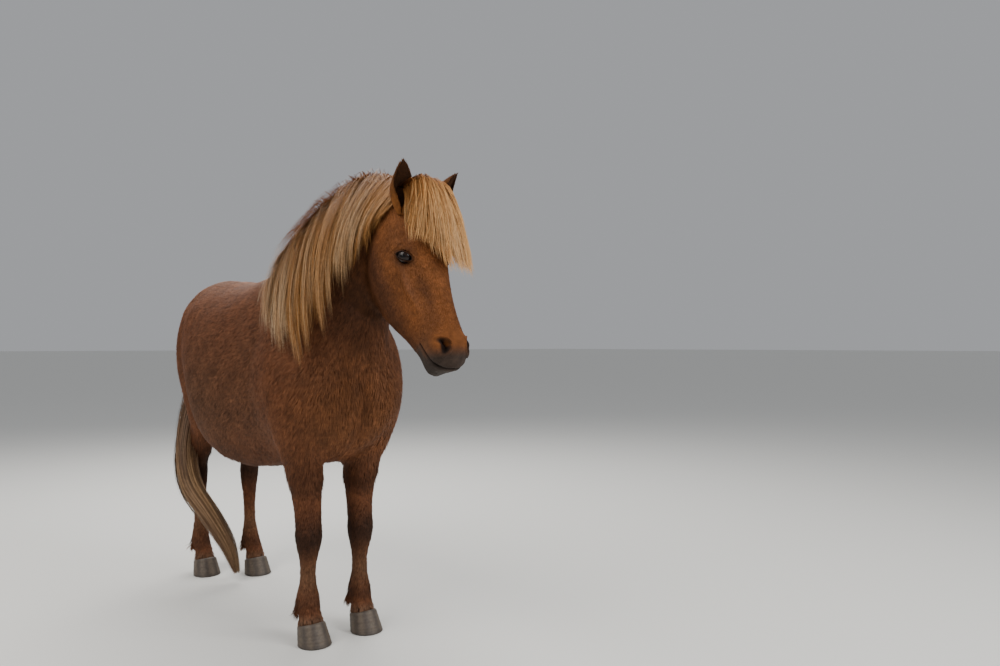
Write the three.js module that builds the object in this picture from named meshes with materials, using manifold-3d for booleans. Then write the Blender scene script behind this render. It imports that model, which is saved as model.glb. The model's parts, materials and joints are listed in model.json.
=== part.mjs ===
// An Icelandic horse standing at rest, life size, in millimetres.
// +Z is up, the nose points towards -Y, and the horse's right side is towards -X.
// The flesh is lofted through rings, joined, and then parted into named pieces with thin cuts.
import * as THREE from "three";
import { mergeVertices } from "three/addons/utils/BufferGeometryUtils.js";
import Module from "manifold-3d";

const wasm = await Module();
wasm.setup();

// Driving dimensions
const CROUP = 1350; // height of the croup over the floor
const WITHERS = 1365; // height of the withers
const BELLY = 545; // lowest point of the belly over the floor
const BARREL = 315; // half the width of the belly at its widest
const TRUNK_FRONT = -735; // the breast, along Y
const TRUNK_BACK = 700; // the buttock, along Y
const FRONT_FEET = { y: -515, x: 104 };
const HIND_FEET = { rightY: 548, leftY: 412, x: 92 };
const HOOF = { width: 116, length: 124, height: 78, lean: 28 };
const POLL = new THREE.Vector3(38, -990, 1532); // top of the skull between the ears
const HEAD_PITCH = 66; // degrees that the nose line falls below level
const HEAD_TURN = 4; // degrees that the nose is turned to the horse's left
const HEAD_LENGTH = 583;
const EYE = { s: 204, v: -50, u: 87, radius: 22 };
const GAP = 0.3; // between touching pieces

const COLOURS = {
  coat: 0x8a5a3c,
  mane: 0xc49a63,
  tail: 0x8f7250,
  hoof: 0x8a8078,
  eye: 0x1a1210,
};

const SIDE = new THREE.Vector3(1, 0, 0);
const rad = THREE.MathUtils.degToRad;

// Catmull-Rom value of one field between key stations, t counted in keys.
function valueAt(keys, field, t) {
  const i = Math.max(0, Math.min(Math.floor(t), keys.length - 2));
  const f = t - i;
  const at = (k) => keys[Math.max(0, Math.min(k, keys.length - 1))][field] ?? 0;
  const [a, b, c, d] = [at(i - 1), at(i), at(i + 1), at(i + 2)];
  return 0.5 * (2 * b + (c - a) * f + (2 * a - 5 * b + 4 * c - d) * f * f + (3 * b - a - 3 * c + d) * f ** 3);
}

function stationAt(keys, t) {
  return Object.fromEntries(Object.keys(keys[0]).map((field) => [field, valueAt(keys, field, t)]));
}

// The ring of points round a centre. Angle 0 is towards side and 90 degrees towards up.
function ring(centre, side, up, shape, segments) {
  const { half, top, bottom, roundTop = 2, roundBottom = 2, narrowTop = 1, narrowBottom = 1 } = shape;
  return Array.from({ length: segments }, (_, k) => {
    const angle = (2 * Math.PI * (k + 0.5)) / segments;
    const [c, s] = [Math.cos(angle), Math.sin(angle)];
    const power = 2 / (s > 0 ? roundTop : roundBottom);
    const narrow = 1 + ((s > 0 ? narrowTop : narrowBottom) - 1) * s * s;
    const across = half * narrow * Math.sign(c) * Math.abs(c) ** power;
    const upward = (s > 0 ? top : bottom) * Math.sign(s) * Math.abs(s) ** power;
    return centre.clone().addScaledVector(side, across).addScaledVector(up, upward);
  });
}

// A closed geometry through rings of equal length, with a pole point at each end.
function loft(rings, start, end) {
  const count = rings[0].length;
  const middle = (points) => points.reduce((sum, p) => sum.add(p), new THREE.Vector3()).divideScalar(count);
  const points = [...rings.flat(), start ?? middle(rings[0]), end ?? middle(rings.at(-1))];
  const [first, last] = [rings.length * count, rings.length * count + 1];
  const faces = [];
  rings.forEach((_, r) => {
    for (let k = 0; k < count; k++) {
      const [a, b] = [r * count + k, r * count + ((k + 1) % count)];
      if (r === 0) faces.push(first, b, a);
      if (r === rings.length - 1) faces.push(last, a, b);
      else faces.push(a, b, a + count, b, b + count, a + count);
    }
  });
  const geometry = new THREE.BufferGeometry().setFromPoints(points);
  geometry.setIndex(faces);
  return geometry;
}

// A closed three.js geometry as a solid, turned to face out.
function solid(geometry) {
  const bare = new THREE.BufferGeometry().setAttribute("position", geometry.getAttribute("position"));
  bare.setIndex(geometry.index);
  const merged = mergeVertices(bare, 1e-3);
  const triVerts = new Uint32Array(merged.index.array);
  const make = () =>
    new wasm.Manifold(new wasm.Mesh({ numProp: 3, vertProperties: merged.attributes.position.array, triVerts }));
  const made = make();
  if (made.volume() > 0) return made;
  for (let i = 0; i < triVerts.length; i += 3) triVerts.subarray(i + 1, i + 3).reverse();
  return make();
}

const join = (solids) => solids.reduce((a, b) => a.add(b));
const largest = (s) => s.decompose().reduce((a, b) => (a.volume() > b.volume() ? a : b));

// Everything on one side of a plane: a large box whose face lies half a gap past the point.
function beyond(point, normal) {
  const size = 4000;
  const box = new THREE.BoxGeometry(size, size, size);
  box.applyQuaternion(new THREE.Quaternion().setFromUnitVectors(new THREE.Vector3(0, 0, 1), normal));
  const centre = point.clone().addScaledVector(normal, size / 2 + GAP / 2);
  return solid(box.translate(...centre));
}

// Trunk: rings square to Y, each from its underline to its topline.
function trunkKeys() {
  return [
    { y: TRUNK_FRONT + 12, top: 1000, bottom: 840, half: 104, roundTop: 2, roundBottom: 2 },
    { y: TRUNK_FRONT + 65, top: 1130, bottom: 722, half: 190, roundTop: 2, roundBottom: 2.1 },
    { y: -570, top: 1250, bottom: 645, half: 228, roundTop: 2, roundBottom: 2.1 },
    { y: -430, top: 1330, bottom: 612, half: 244, roundTop: 1.8, roundBottom: 2.1 },
    { y: -270, top: WITHERS, bottom: 598, half: 264, roundTop: 1.75, roundBottom: 2.15 },
    { y: -90, top: 1335, bottom: 565, half: 300, roundTop: 1.9, roundBottom: 2.2 },
    { y: 70, top: 1318, bottom: BELLY, half: BARREL, roundTop: 2.05, roundBottom: 2.2 },
    { y: 230, top: 1332, bottom: 575, half: 304, roundTop: 2.05, roundBottom: 2.2 },
    { y: 370, top: CROUP, bottom: 665, half: 264, roundTop: 2.05, roundBottom: 2.1 },
    { y: 490, top: CROUP - 2, bottom: 790, half: 220, roundTop: 2, roundBottom: 2 },
    { y: 600, top: 1298, bottom: 880, half: 178, roundTop: 2, roundBottom: 2 },
    { y: TRUNK_BACK - 22, top: 1200, bottom: 985, half: 100, roundTop: 2, roundBottom: 2 },
  ];
}

function trunk(grow) {
  const keys = trunkKeys();
  const rings = [];
  const up = new THREE.Vector3(0, 0, 1);
  for (let t = 0; t <= keys.length - 1; t += 0.5) {
    const k = stationAt(keys, t);
    const middle = (k.top * 0.5 + k.bottom * 0.5) - 20;
    const shape = { ...k, half: k.half + grow, top: k.top - middle + grow, bottom: middle - k.bottom + grow };
    rings.push(ring(new THREE.Vector3(0, k.y, middle), SIDE, up, shape, 22));
  }
  return solid(
    loft(rings, new THREE.Vector3(0, TRUNK_FRONT - grow, 915), new THREE.Vector3(0, TRUNK_BACK + grow, 1095)),
  );
}

// A limb or muscle: rings square to a path that runs downwards, wider fore and aft than across.
function limbRings(keys, segments, step, grow) {
  const pathAt = (t) => new THREE.Vector3(valueAt(keys, "x", t), valueAt(keys, "y", t), valueAt(keys, "z", t));
  const rings = [];
  for (let t = 0; t <= keys.length - 1 + 1e-6; t += step) {
    const tangent = pathAt(t + 0.1).sub(pathAt(t - 0.1)).normalize();
    const front = tangent.clone().cross(SIDE).normalize();
    const side = front.clone().cross(tangent).normalize();
    const k = stationAt(keys, t);
    const shape = { half: k.half + grow, top: k.front + grow, bottom: k.back + grow };
    const end = t === 0 ? -grow : t > keys.length - 1 - step ? grow : 0;
    rings.push(ring(pathAt(t).addScaledVector(tangent, end), side, front, shape, segments));
  }
  return rings;
}

function limb(keys, segments, step, grow) {
  return solid(loft(limbRings(keys, segments, step, grow)));
}

// Shoulder and upper arm, from beside the withers to the elbow.
function shoulder(sign, grow) {
  const keys = [
    { x: 96, y: -320, z: 1270, half: 36, front: 60, back: 66 },
    { x: 136, y: -385, z: 1180, half: 66, front: 110, back: 118 },
    { x: 158, y: -470, z: 1040, half: 86, front: 145, back: 150 },
    { x: 166, y: -525, z: 900, half: 84, front: 145, back: 150 },
    { x: 156, y: -520, z: 775, half: 78, front: 116, back: 124 },
    { x: 134, y: -496, z: 675, half: 66, front: 86, back: 92 },
    { x: 116, y: -495, z: 612, half: 48, front: 60, back: 64 },
  ].map((k) => ({ ...k, x: k.x * sign }));
  return limb(keys, 12, 0.5, grow);
}

// Haunch, from the hip to the stifle. The foot's place carries the thigh with it.
function haunch(sign, footY, grow) {
  const lean = (footY - 500) * 0.45;
  const keys = [
    { x: 74, y: 400, z: 1290, half: 50, front: 100, back: 110 },
    { x: 112, y: 435, z: 1180, half: 96, front: 165, back: 190 },
    { x: 126, y: 455, z: 1040, half: 104, front: 190, back: 218 },
    { x: 128, y: 462, z: 920, half: 98, front: 178, back: 194 },
    { x: 122, y: 470 + lean * 0.4, z: 820, half: 86, front: 150, back: 140 },
    { x: 114, y: 480 + lean, z: 735, half: 74, front: 112, back: 108 },
    { x: 108, y: 505 + lean, z: 670, half: 54, front: 76, back: 76 },
  ].map((k) => ({ ...k, x: k.x * sign }));
  return limb(keys, 12, 0.5, grow);
}

// Neck: each ring stands between a point of the crest and a point of the throat.
const NECK_KEYS = [
  { cx: 0, cy: -110, cz: 1295, tx: 0, ty: -300, tz: 700, half: 200 },
  { cx: 0, cy: -240, cz: 1378, tx: 0, ty: -590, tz: 800, half: 212 },
  { cx: 2, cy: -345, cz: 1452, tx: 0, ty: -712, tz: 925, half: 190 },
  { cx: 8, cy: -465, cz: 1526, tx: 4, ty: -760, tz: 1050, half: 158 },
  { cx: 16, cy: -600, cz: 1574, tx: 10, ty: -790, tz: 1150, half: 130 },
  { cx: 24, cy: -745, cz: 1590, tx: 18, ty: -808, tz: 1235, half: 112 },
  { cx: 32, cy: -872, cz: 1572, tx: 26, ty: -828, tz: 1300, half: 100 },
  { cx: 36, cy: -962, cz: 1536, tx: 32, ty: -872, tz: 1362, half: 86 },
];

function neckStation(t, grow = 0) {
  const k = stationAt(NECK_KEYS, t);
  const crest = new THREE.Vector3(k.cx, k.cy, k.cz);
  const throat = new THREE.Vector3(k.tx, k.ty, k.tz);
  const up = crest.clone().sub(throat);
  const height = up.length() / 2;
  up.normalize();
  const before = stationAt(NECK_KEYS, t - 0.1);
  const after = stationAt(NECK_KEYS, t + 0.1);
  const along = new THREE.Vector3(after.cx - before.cx, after.cy - before.cy, after.cz - before.cz).normalize();
  const side = along.clone().cross(up).normalize();
  const shape = {
    half: k.half + grow, top: height + grow, bottom: height + grow,
    roundTop: 1.85, roundBottom: 2.1, narrowTop: 0.8, narrowBottom: 0.95,
  };
  return { centre: crest.add(throat).multiplyScalar(0.5), along, side, up, shape };
}

function neck(grow) {
  const rings = [];
  for (let t = 0; t <= NECK_KEYS.length - 1 + 1e-6; t += 0.5) {
    const { centre, along, side, up, shape } = neckStation(t, grow);
    const end = t === 0 ? -grow : t > NECK_KEYS.length - 1.5 ? grow : 0;
    rings.push(ring(centre.addScaledVector(along, end), side, up, shape, 24));
  }
  return solid(loft(rings));
}

// Head frame: x to the horse's left, y out of the forehead, z down the nose from the poll.
const headForward = new THREE.Vector3(Math.sin(rad(HEAD_TURN)), -Math.cos(rad(HEAD_TURN)), 0);
const headDown = headForward.clone().multiplyScalar(Math.cos(rad(HEAD_PITCH)));
headDown.z = -Math.sin(rad(HEAD_PITCH));
const headOut = headForward.clone().multiplyScalar(Math.sin(rad(HEAD_PITCH)));
headOut.z = Math.cos(rad(HEAD_PITCH));
const headLeft = headOut.clone().cross(headDown);
const HEAD_FRAME = new THREE.Matrix4().makeBasis(headLeft, headOut, headDown).setPosition(POLL);
const onHead = (u, v, s) => new THREE.Vector3(u, v, s).applyMatrix4(HEAD_FRAME);

// Head: rings square to the nose line, each from the jaw up to the face.
const HEAD_KEYS = [
  { s: -45, top: -40, bottom: -160, half: 54, roundTop: 2, roundBottom: 2, narrowTop: 1, narrowBottom: 0.9 },
  { s: -15, top: -8, bottom: -205, half: 76, roundTop: 2, roundBottom: 2, narrowTop: 0.95, narrowBottom: 0.85 },
  { s: 40, top: 10, bottom: -255, half: 92, roundTop: 2.1, roundBottom: 2.1, narrowTop: 0.95, narrowBottom: 0.8 },
  { s: 100, top: 19, bottom: -292, half: 104, roundTop: 2.3, roundBottom: 2.2, narrowTop: 0.95, narrowBottom: 0.75 },
  { s: 160, top: 21, bottom: -312, half: 106, roundTop: 2.4, roundBottom: 2.3, narrowTop: 0.95, narrowBottom: 0.72 },
  { s: 220, top: 17, bottom: -320, half: 102, roundTop: 2.3, roundBottom: 2.3, narrowTop: 0.9, narrowBottom: 0.74 },
  { s: 290, top: 10, bottom: -304, half: 90, roundTop: 2.2, roundBottom: 2.3, narrowTop: 0.85, narrowBottom: 0.78 },
  { s: 360, top: 5, bottom: -266, half: 76, roundTop: 2.1, roundBottom: 2.3, narrowTop: 0.85, narrowBottom: 0.8 },
  { s: 420, top: 3, bottom: -224, half: 68, roundTop: 2.1, roundBottom: 2.2, narrowTop: 0.85, narrowBottom: 0.85 },
  { s: 475, top: 3, bottom: -194, half: 66, roundTop: 2.2, roundBottom: 2.2, narrowTop: 0.9, narrowBottom: 0.85 },
  { s: 520, top: 0, bottom: -170, half: 68, roundTop: 2.3, roundBottom: 2.2, narrowTop: 0.95, narrowBottom: 0.78 },
  { s: 550, top: -18, bottom: -158, half: 62, roundTop: 2.3, roundBottom: 2.1, narrowTop: 1, narrowBottom: 0.74 },
  { s: 570, top: -42, bottom: -138, half: 44, roundTop: 2.2, roundBottom: 2, narrowTop: 1, narrowBottom: 0.72 },
];

function headLoft(grow) {
  const rings = [];
  for (let t = 0; t <= HEAD_KEYS.length - 1 + 1e-6; t += 0.5) {
    const k = stationAt(HEAD_KEYS, t);
    const middle = (k.top + k.bottom) / 2 + 18 * Math.sin(Math.PI * Math.min(1, t / 8));
    const shape = { ...k, half: k.half + grow, top: k.top - middle + grow, bottom: middle - k.bottom + grow };
    const ahead = t === 0 ? -grow : t > HEAD_KEYS.length - 1.5 ? grow : 0;
    rings.push(ring(onHead(0, middle, k.s + ahead), headLeft, headOut, shape, 18));
  }
  return solid(loft(rings, undefined, onHead(0, -92, HEAD_LENGTH + grow)));
}

// A ball stretched to three half sizes along the head's own axes, tilted about its down axis.
function headBall(u, v, s, halfU, halfV, halfS, turn = 0, detail = 8) {
  const ball = new THREE.SphereGeometry(1, detail, Math.round(detail * 0.6));
  ball.scale(halfU, halfV, halfS).rotateZ(turn).translate(u, v, s);
  return solid(ball.applyMatrix4(HEAD_FRAME));
}

// A tube through points, thin at both ends and thick in the middle, used for the lids.
function headTube(points, thin, thick, grow) {
  const curve = new THREE.CatmullRomCurve3(points);
  const count = 6;
  const rings = [];
  for (let i = 0; i <= count; i++) {
    const tangent = curve.getTangent(i / count);
    const up = SIDE.clone().cross(tangent).normalize();
    const side = tangent.clone().cross(up).normalize();
    const size = THREE.MathUtils.lerp(thin, thick, Math.sin((Math.PI * i) / count)) + grow;
    const end = i === 0 ? -grow : i === count ? grow : 0;
    const centre = curve.getPoint(i / count).addScaledVector(tangent, end);
    rings.push(ring(centre, side, up, { half: size, top: size, bottom: size }, 6));
  }
  return solid(loft(rings).applyMatrix4(HEAD_FRAME));
}

function eyeball(sign, grow) {
  const { u, v, s, radius } = EYE;
  return headBall(sign * u, v, s, radius + grow, radius + grow, radius + grow, 0, 12);
}

// Upper and lower lid: arcs that hug the eyeball between its two corners.
function lids(sign, grow) {
  const { u, v, s, radius } = EYE;
  const arc = (height, out) =>
    [-1, -0.55, 0, 0.55, 1].map((f) => {
      const lift = height * (1 - f * f);
      const reach = Math.sqrt(Math.max(0, (radius + 1) ** 2 - (f * radius) ** 2 * 0.9 - lift ** 2));
      return new THREE.Vector3(sign * (u + reach * out), v + lift - f * 5, s + f * 25);
    });
  return [headTube(arc(13, 1), 3, 7, grow), headTube(arc(-12, 1), 3, 5.5, grow)];
}

function head(grow = 0) {
  const { u, v, s } = EYE;
  const ball = (x, y, z, halfU, halfV, halfS) => headBall(x, y, z, halfU + grow, halfV + grow, halfS + grow);
  const added = [-1, 1].flatMap((sign) => [
    ball(sign * (u - 30), v + 28, s - 8, 20, 20, 46), // brow over the eye
    ball(sign * (u - 15), v - 30, s + 50, 18, 26, 96), // cheekbone under the eye
    ball(sign * 48, -215, 165, 34, 88, 108), // round of the jaw
    ball(sign * 44, -44, 514, 28, 36, 38), // flesh round the nostril
    ...lids(sign, grow),
  ]);
  added.push(ball(0, -142, 540, 40, 32, 36)); // chin and lower lip
  added.push(ball(0, -72, 556, 48, 40, 30)); // upper lip
  return join([headLoft(grow), ...added]);
}

// Nostrils, the line of the mouth and the eye sockets, cut from the head.
function headCuts() {
  const nostril = (sign) => headBall(sign * 68, -42, 522, 15, 24, 13, sign * 0.35);
  const slit = new THREE.BoxGeometry(180, 3.5, 120).rotateX(rad(-14)).translate(0, -122, 548);
  const mouth = solid(slit.applyMatrix4(HEAD_FRAME)).subtract(headLoft(-9));
  return join([nostril(-1), nostril(1), mouth, eyeball(-1, GAP), eyeball(1, GAP)]);
}

// Ear: a leaf-shaped cup on the side of the poll, pricked forwards.
const EAR = { length: 128, width: 38, depth: 27, wall: 5, u: 72, v: -8, s: 34, leanRight: 0.12, leanLeft: 0.42 };

function earFrame(sign) {
  const lean = sign < 0 ? -EAR.leanRight : EAR.leanLeft;
  const axis = new THREE.Vector3(lean, 0.62, -0.85).normalize();
  const open = new THREE.Vector3(sign * 0.55, 1, 0.35).normalize();
  const across = axis.clone().cross(open).normalize();
  const face = across.clone().cross(axis).normalize();
  return { axis, face, across };
}

function earLoft(sign, inner, grow = 0) {
  const { axis, face, across } = earFrame(sign);
  const root = new THREE.Vector3(sign * EAR.u, EAR.v, EAR.s);
  const keys = [
    { at: -0.28, half: 0.8, deep: 0.95 },
    { at: 0.02, half: 0.9, deep: 1.05 },
    { at: 0.25, half: 1.02, deep: 1.05 },
    { at: 0.5, half: 0.92, deep: 0.9 },
    { at: 0.75, half: 0.62, deep: 0.62 },
    { at: 0.92, half: 0.3, deep: 0.34 },
    { at: 0.99, half: 0.1, deep: 0.14 },
  ];
  const rings = [];
  for (let t = inner ? 1 : 0; t <= keys.length - 1 + 1e-6; t += inner ? 0.625 : 0.75) {
    const k = stationAt(keys, t);
    const thin = inner ? EAR.wall : 0;
    const lean = 16 * k.at * k.at;
    const centre = root.clone().addScaledVector(axis, k.at * EAR.length - (inner ? 8 : 0));
    centre.addScaledVector(face, lean + (inner ? 12 : 0));
    const shape = {
      half: Math.max(0.6, EAR.width * k.half - thin) + grow,
      top: Math.max(0.6, EAR.depth * k.deep + (inner ? 14 : 0)) + grow,
      bottom: Math.max(0.6, EAR.depth * k.deep - thin) + grow,
    };
    rings.push(ring(centre, across, face, shape, 10));
  }
  return solid(loft(rings).applyMatrix4(HEAD_FRAME));
}

function ear(sign) {
  return earLoft(sign, false).subtract(earLoft(sign, true));
}

// Legs below the trunk. The front pair stands straight, and the hind pair bends at the hock.
function frontLegKeys(sign) {
  const y = FRONT_FEET.y;
  return [
    { x: 124, y: y + 22, z: 790, half: 58, front: 76, back: 78 },
    { x: 120, y: y + 22, z: 690, half: 74, front: 88, back: 92 },
    { x: 111, y: y + 16, z: 590, half: 62, front: 74, back: 78 },
    { x: 105, y: y + 8, z: 490, half: 52, front: 56, back: 60 },
    { x: 104, y: y + 2, z: 415, half: 49, front: 50, back: 52 },
    { x: 104, y, z: 368, half: 53, front: 52, back: 54 },
    { x: 104, y: y + 2, z: 320, half: 43, front: 43, back: 46 },
    { x: 104, y: y + 4, z: 275, half: 31, front: 34, back: 41 },
    { x: 104, y: y + 4, z: 215, half: 30, front: 34, back: 41 },
    { x: 104, y: y + 4, z: 172, half: 38, front: 40, back: 50 },
    { x: 104, y: y + 1, z: 142, half: 43, front: 44, back: 55 },
    { x: 104, y: y - 8, z: 108, half: 38, front: 38, back: 44 },
    { x: 104, y: y - 15, z: 82, half: 46, front: 44, back: 48 },
    { x: 104, y: y - 26, z: 40, half: 40, front: 38, back: 40 },
  ].map((k) => ({ ...k, x: sign * k.x }));
}

function hindLegKeys(sign) {
  const y = sign < 0 ? HIND_FEET.rightY : HIND_FEET.leftY;
  const lean = (y - 500) * 0.45;
  const hip = 500 + lean;
  return [
    { x: 112, y: hip - 25, z: 850, half: 62, front: 100, back: 100 },
    { x: 110, y: hip - 8, z: 760, half: 66, front: 98, back: 98 },
    { x: 106, y: (hip + y) / 2 + 14, z: 660, half: 55, front: 76, back: 78 },
    { x: 100, y: y + 32, z: 575, half: 45, front: 54, back: 62 },
    { x: 96, y: y + 72, z: 510, half: 40, front: 46, back: 66 },
    { x: 94, y: y + 84, z: 455, half: 45, front: 50, back: 58 },
    { x: 93, y: y + 82, z: 395, half: 37, front: 40, back: 44 },
    { x: 92, y: y + 78, z: 320, half: 29, front: 34, back: 38 },
    { x: 92, y: y + 72, z: 235, half: 28, front: 33, back: 39 },
    { x: 92, y: y + 68, z: 190, half: 35, front: 38, back: 46 },
    { x: 92, y: y + 60, z: 158, half: 39, front: 42, back: 50 },
    { x: 92, y: y + 34, z: 118, half: 36, front: 37, back: 41 },
    { x: 92, y: y + 12, z: 84, half: 43, front: 41, back: 45 },
    { x: 92, y: y - 6, z: 40, half: 38, front: 36, back: 38 },
  ].map((k) => ({ ...k, x: sign * k.x }));
}

// Hoof: a flat-bottomed wall that leans back from the toe, its top rim falling to the heels.
function hoof(x, y, grow) {
  const { width, length, height, lean } = HOOF;
  const levels = [0, 0.06, 0.5, 0.93, 1];
  const spread = [1, 1.01, 0.93, 0.85, 0.78];
  const rings = levels.map((level, i) => {
    const points = [];
    for (let k = 0; k < 16; k++) {
      const angle = (2 * Math.PI * (k + 0.5)) / 16;
      const [c, s] = [Math.cos(angle), Math.sin(angle)]; // s is -1 at the toe
      const rear = Math.max(0, s);
      const across = (width / 2 + grow) * spread[i] * Math.sign(c) * Math.abs(c) ** 0.9 * (1 - 0.12 * rear);
      const along = (length / 2 + grow) * spread[i] * s * (1 - 0.1 * rear);
      const rise = (height + grow) * level * (1 - 0.34 * (0.5 + 0.5 * s));
      points.push(new THREE.Vector3(x + across, y - 8 + along + lean * level, level ? rise : -grow));
    }
    return points;
  });
  return solid(loft(rings));
}

// Hair. A lock is flat, bends along its path and tapers to a point.
let seed = 7;
function random(low, high) {
  seed = (seed * 1664525 + 1013904223) % 4294967296;
  return low + ((high - low) * seed) / 4294967296;
}

function lock(pathAt, outAt, width, thick, steps = 6) {
  const rings = [];
  for (let i = 0; i < steps; i++) {
    const f = i / steps;
    const here = pathAt(f);
    const tangent = pathAt(f + 0.04).sub(pathAt(Math.max(0, f - 0.04))).normalize();
    const out = outAt(f).addScaledVector(tangent, -outAt(f).dot(tangent)).normalize();
    const across = tangent.clone().cross(out).normalize();
    const wide = 0.5 * width * (0.7 + 0.5 * Math.sin(Math.PI * Math.min(1, f * 1.1))) * (1 - f ** 2.4);
    const deep = 0.5 * thick * (1 - 0.75 * f);
    rings.push([
      here.clone().addScaledVector(across, wide),
      here.clone().addScaledVector(out, deep),
      here.clone().addScaledVector(across, -wide),
      here.clone().addScaledVector(out, -deep),
    ]);
  }
  return solid(loft(rings, undefined, pathAt(1)));
}

// A point near the neck: angle 0 is the horse's right, 90 the crest and 180 the left.
function neckPoint(t, angle, out) {
  const { centre, side, up, shape } = neckStation(t, out);
  const [c, s] = [Math.cos(rad(angle)), Math.sin(rad(angle))];
  const power = 2 / (s > 0 ? shape.roundTop : shape.roundBottom);
  const narrow = 1 + ((s > 0 ? shape.narrowTop : shape.narrowBottom) - 1) * s * s;
  return centre
    .addScaledVector(side, shape.half * narrow * Math.sign(c) * Math.abs(c) ** power)
    .addScaledVector(up, (s > 0 ? shape.top : shape.bottom) * Math.sign(s) * Math.abs(s) ** power);
}

const outOfNeck = (t, angle) => neckPoint(t, angle, 10).sub(neckPoint(t, angle, 0)).normalize();

// How the mane falls, by station of its root: the angle at which it leaves the neck, how far it
// then hangs straight down, and how far it drifts along the neck.
const MANE_FALL = [
  { reach: 40, drop: 0, drift: 0.2 },
  { reach: 24, drop: 60, drift: 0.15 },
  { reach: 6, drop: 160, drift: 0.12 },
  { reach: -8, drop: 225, drift: 0.05 },
  { reach: -12, drop: 210, drift: -0.05 },
  { reach: -12, drop: 140, drift: -0.15 },
  { reach: -10, drop: 70, drift: -0.05 },
  { reach: 0, drop: 0, drift: 0.05 },
];
const MANE_FIRST = 1.15;
const MANE_LAST = 6.85;

function maneLock(t0, reachPart, lift, width, thick, left) {
  const { reach, drop, drift } = stationAt(MANE_FALL, t0);
  const from = left ? 84 : 97;
  const to = left ? 180 - reach : reach;
  const angleAt = (f) => THREE.MathUtils.lerp(from, to, reachPart * f ** 0.9);
  const stationOf = (f) => Math.max(0.6, t0 + drift * reachPart * f ** 1.2);
  const outAt = (f) => outOfNeck(stationOf(f), angleAt(f));
  const pathAt = (f) => {
    const t = stationOf(f);
    const rise = -26 + (lift + 26) * Math.min(1, f * 4) - 0.45 * lift * f * f;
    const hang = (left ? 0 : drop) * reachPart * f ** 1.6;
    const point = neckPoint(t, angleAt(f), rise + 16 * Math.max(0, 2.1 - t));
    return point.add(new THREE.Vector3(-0.22 * hang, 0, -hang));
  };
  return lock(pathAt, outAt, width, thick, 5);
}

// The core lies under the upper half of the locks.
function maneCore() {
  const rings = [];
  const steps = 9;
  for (let i = 0; i <= steps; i++) {
    const t = THREE.MathUtils.lerp(MANE_FIRST, MANE_LAST, i / steps);
    const { reach } = stationAt(MANE_FALL, t);
    const thick = 20 * Math.min(1, (i + 1) / 3);
    const [from, to] = [104, THREE.MathUtils.lerp(97, reach, 0.42)];
    const points = [];
    for (let k = 0; k <= 3; k++) points.push(neckPoint(t, THREE.MathUtils.lerp(from, to, k / 3), thick));
    for (let k = 3; k >= 0; k--) points.push(neckPoint(t, THREE.MathUtils.lerp(from, to, k / 3), -24));
    rings.push(points);
  }
  return solid(loft(rings));
}

function mane() {
  const locks = [maneCore()];
  const rows = [
    { count: 13, part: 1, lift: 28, width: 116, left: false },
    { count: 8, part: 0.74, lift: 52, width: 112, left: false },
    { count: 6, part: 0.34, lift: 50, width: 116, left: true },
  ];
  for (const { count, part, lift, width, left } of rows) {
    for (let i = 0; i < count; i++) {
      const t0 = THREE.MathUtils.lerp(MANE_FIRST, MANE_LAST, (i + random(0.2, 0.8)) / count);
      locks.push(maneLock(t0, part * random(0.9, 1.06), lift * random(0.85, 1.15), width, 24, left));
    }
  }
  return join(locks);
}

// Forelock: it falls from the poll over the brow and is swept to the horse's left.
function forelock() {
  const core = [];
  for (let i = 0; i <= 3; i++) {
    const f = i / 3;
    const centre = new THREE.Vector3(6 + 26 * f, 2, -28 + 128 * f);
    const half = 48 + 10 * Math.sin(Math.PI * f);
    core.push(
      Array.from({ length: 8 }, (_, k) => {
        const angle = (2 * Math.PI * k) / 8;
        const out = (Math.sin(angle) > 0 ? 40 : 26) * (1 - 0.4 * f);
        return centre.clone().add(new THREE.Vector3(half * Math.cos(angle), out * Math.sin(angle), 0));
      }),
    );
  }
  const locks = [solid(loft(core).applyMatrix4(HEAD_FRAME))];
  const rows = [
    { count: 7, length: 1, lift: 64, width: 74 },
    { count: 5, length: 0.8, lift: 104, width: 72 },
  ];
  for (const { count, length, lift, width } of rows) {
    for (let i = 0; i < count; i++) {
      const f = (i + random(0.3, 0.7)) / count;
      const [rootU, tipU] = [THREE.MathUtils.lerp(-36, 44, f), THREE.MathUtils.lerp(-26, 184, f)];
      const reach = length * random(0.94, 1.06) * (262 - 46 * Math.abs(f - 0.55) * 2);
      const pathAt = (g) => {
        const along = -22 + (reach + 22) * g;
        const across = THREE.MathUtils.lerp(rootU, tipU, g ** 0.85);
        const rise = -12 + (lift + 12) * Math.sin(Math.PI * Math.min(0.5, g * 2)) - (lift - 16) * g ** 3 * 0.8;
        return onHead(across, rise + 10 - 22 * (across / 100) ** 2, along);
      };
      locks.push(lock(pathAt, () => headOut.clone(), width, 22, 5));
    }
  }
  return join(locks);
}

// The tail hangs from the dock and is blown round the outside of the right hind leg.
const TAIL_KEYS = [
  { x: 0, y: 600, z: 1258, half: 26, front: 24, back: 24 },
  { x: 0, y: 690, z: 1215, half: 38, front: 32, back: 32 },
  { x: -16, y: 738, z: 1100, half: 52, front: 36, back: 40 },
  { x: -42, y: 734, z: 960, half: 60, front: 40, back: 44 },
  { x: -76, y: 704, z: 820, half: 58, front: 42, back: 44 },
  { x: -124, y: 664, z: 680, half: 52, front: 50, back: 50 },
  { x: -166, y: 596, z: 530, half: 38, front: 62, back: 60 },
  { x: -164, y: 522, z: 400, half: 40, front: 58, back: 58 },
  { x: -112, y: 430, z: 280, half: 42, front: 44, back: 46 },
  { x: -64, y: 362, z: 160, half: 34, front: 34, back: 34 },
  { x: -34, y: 322, z: 30, half: 12, front: 12, back: 12 },
];

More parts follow.
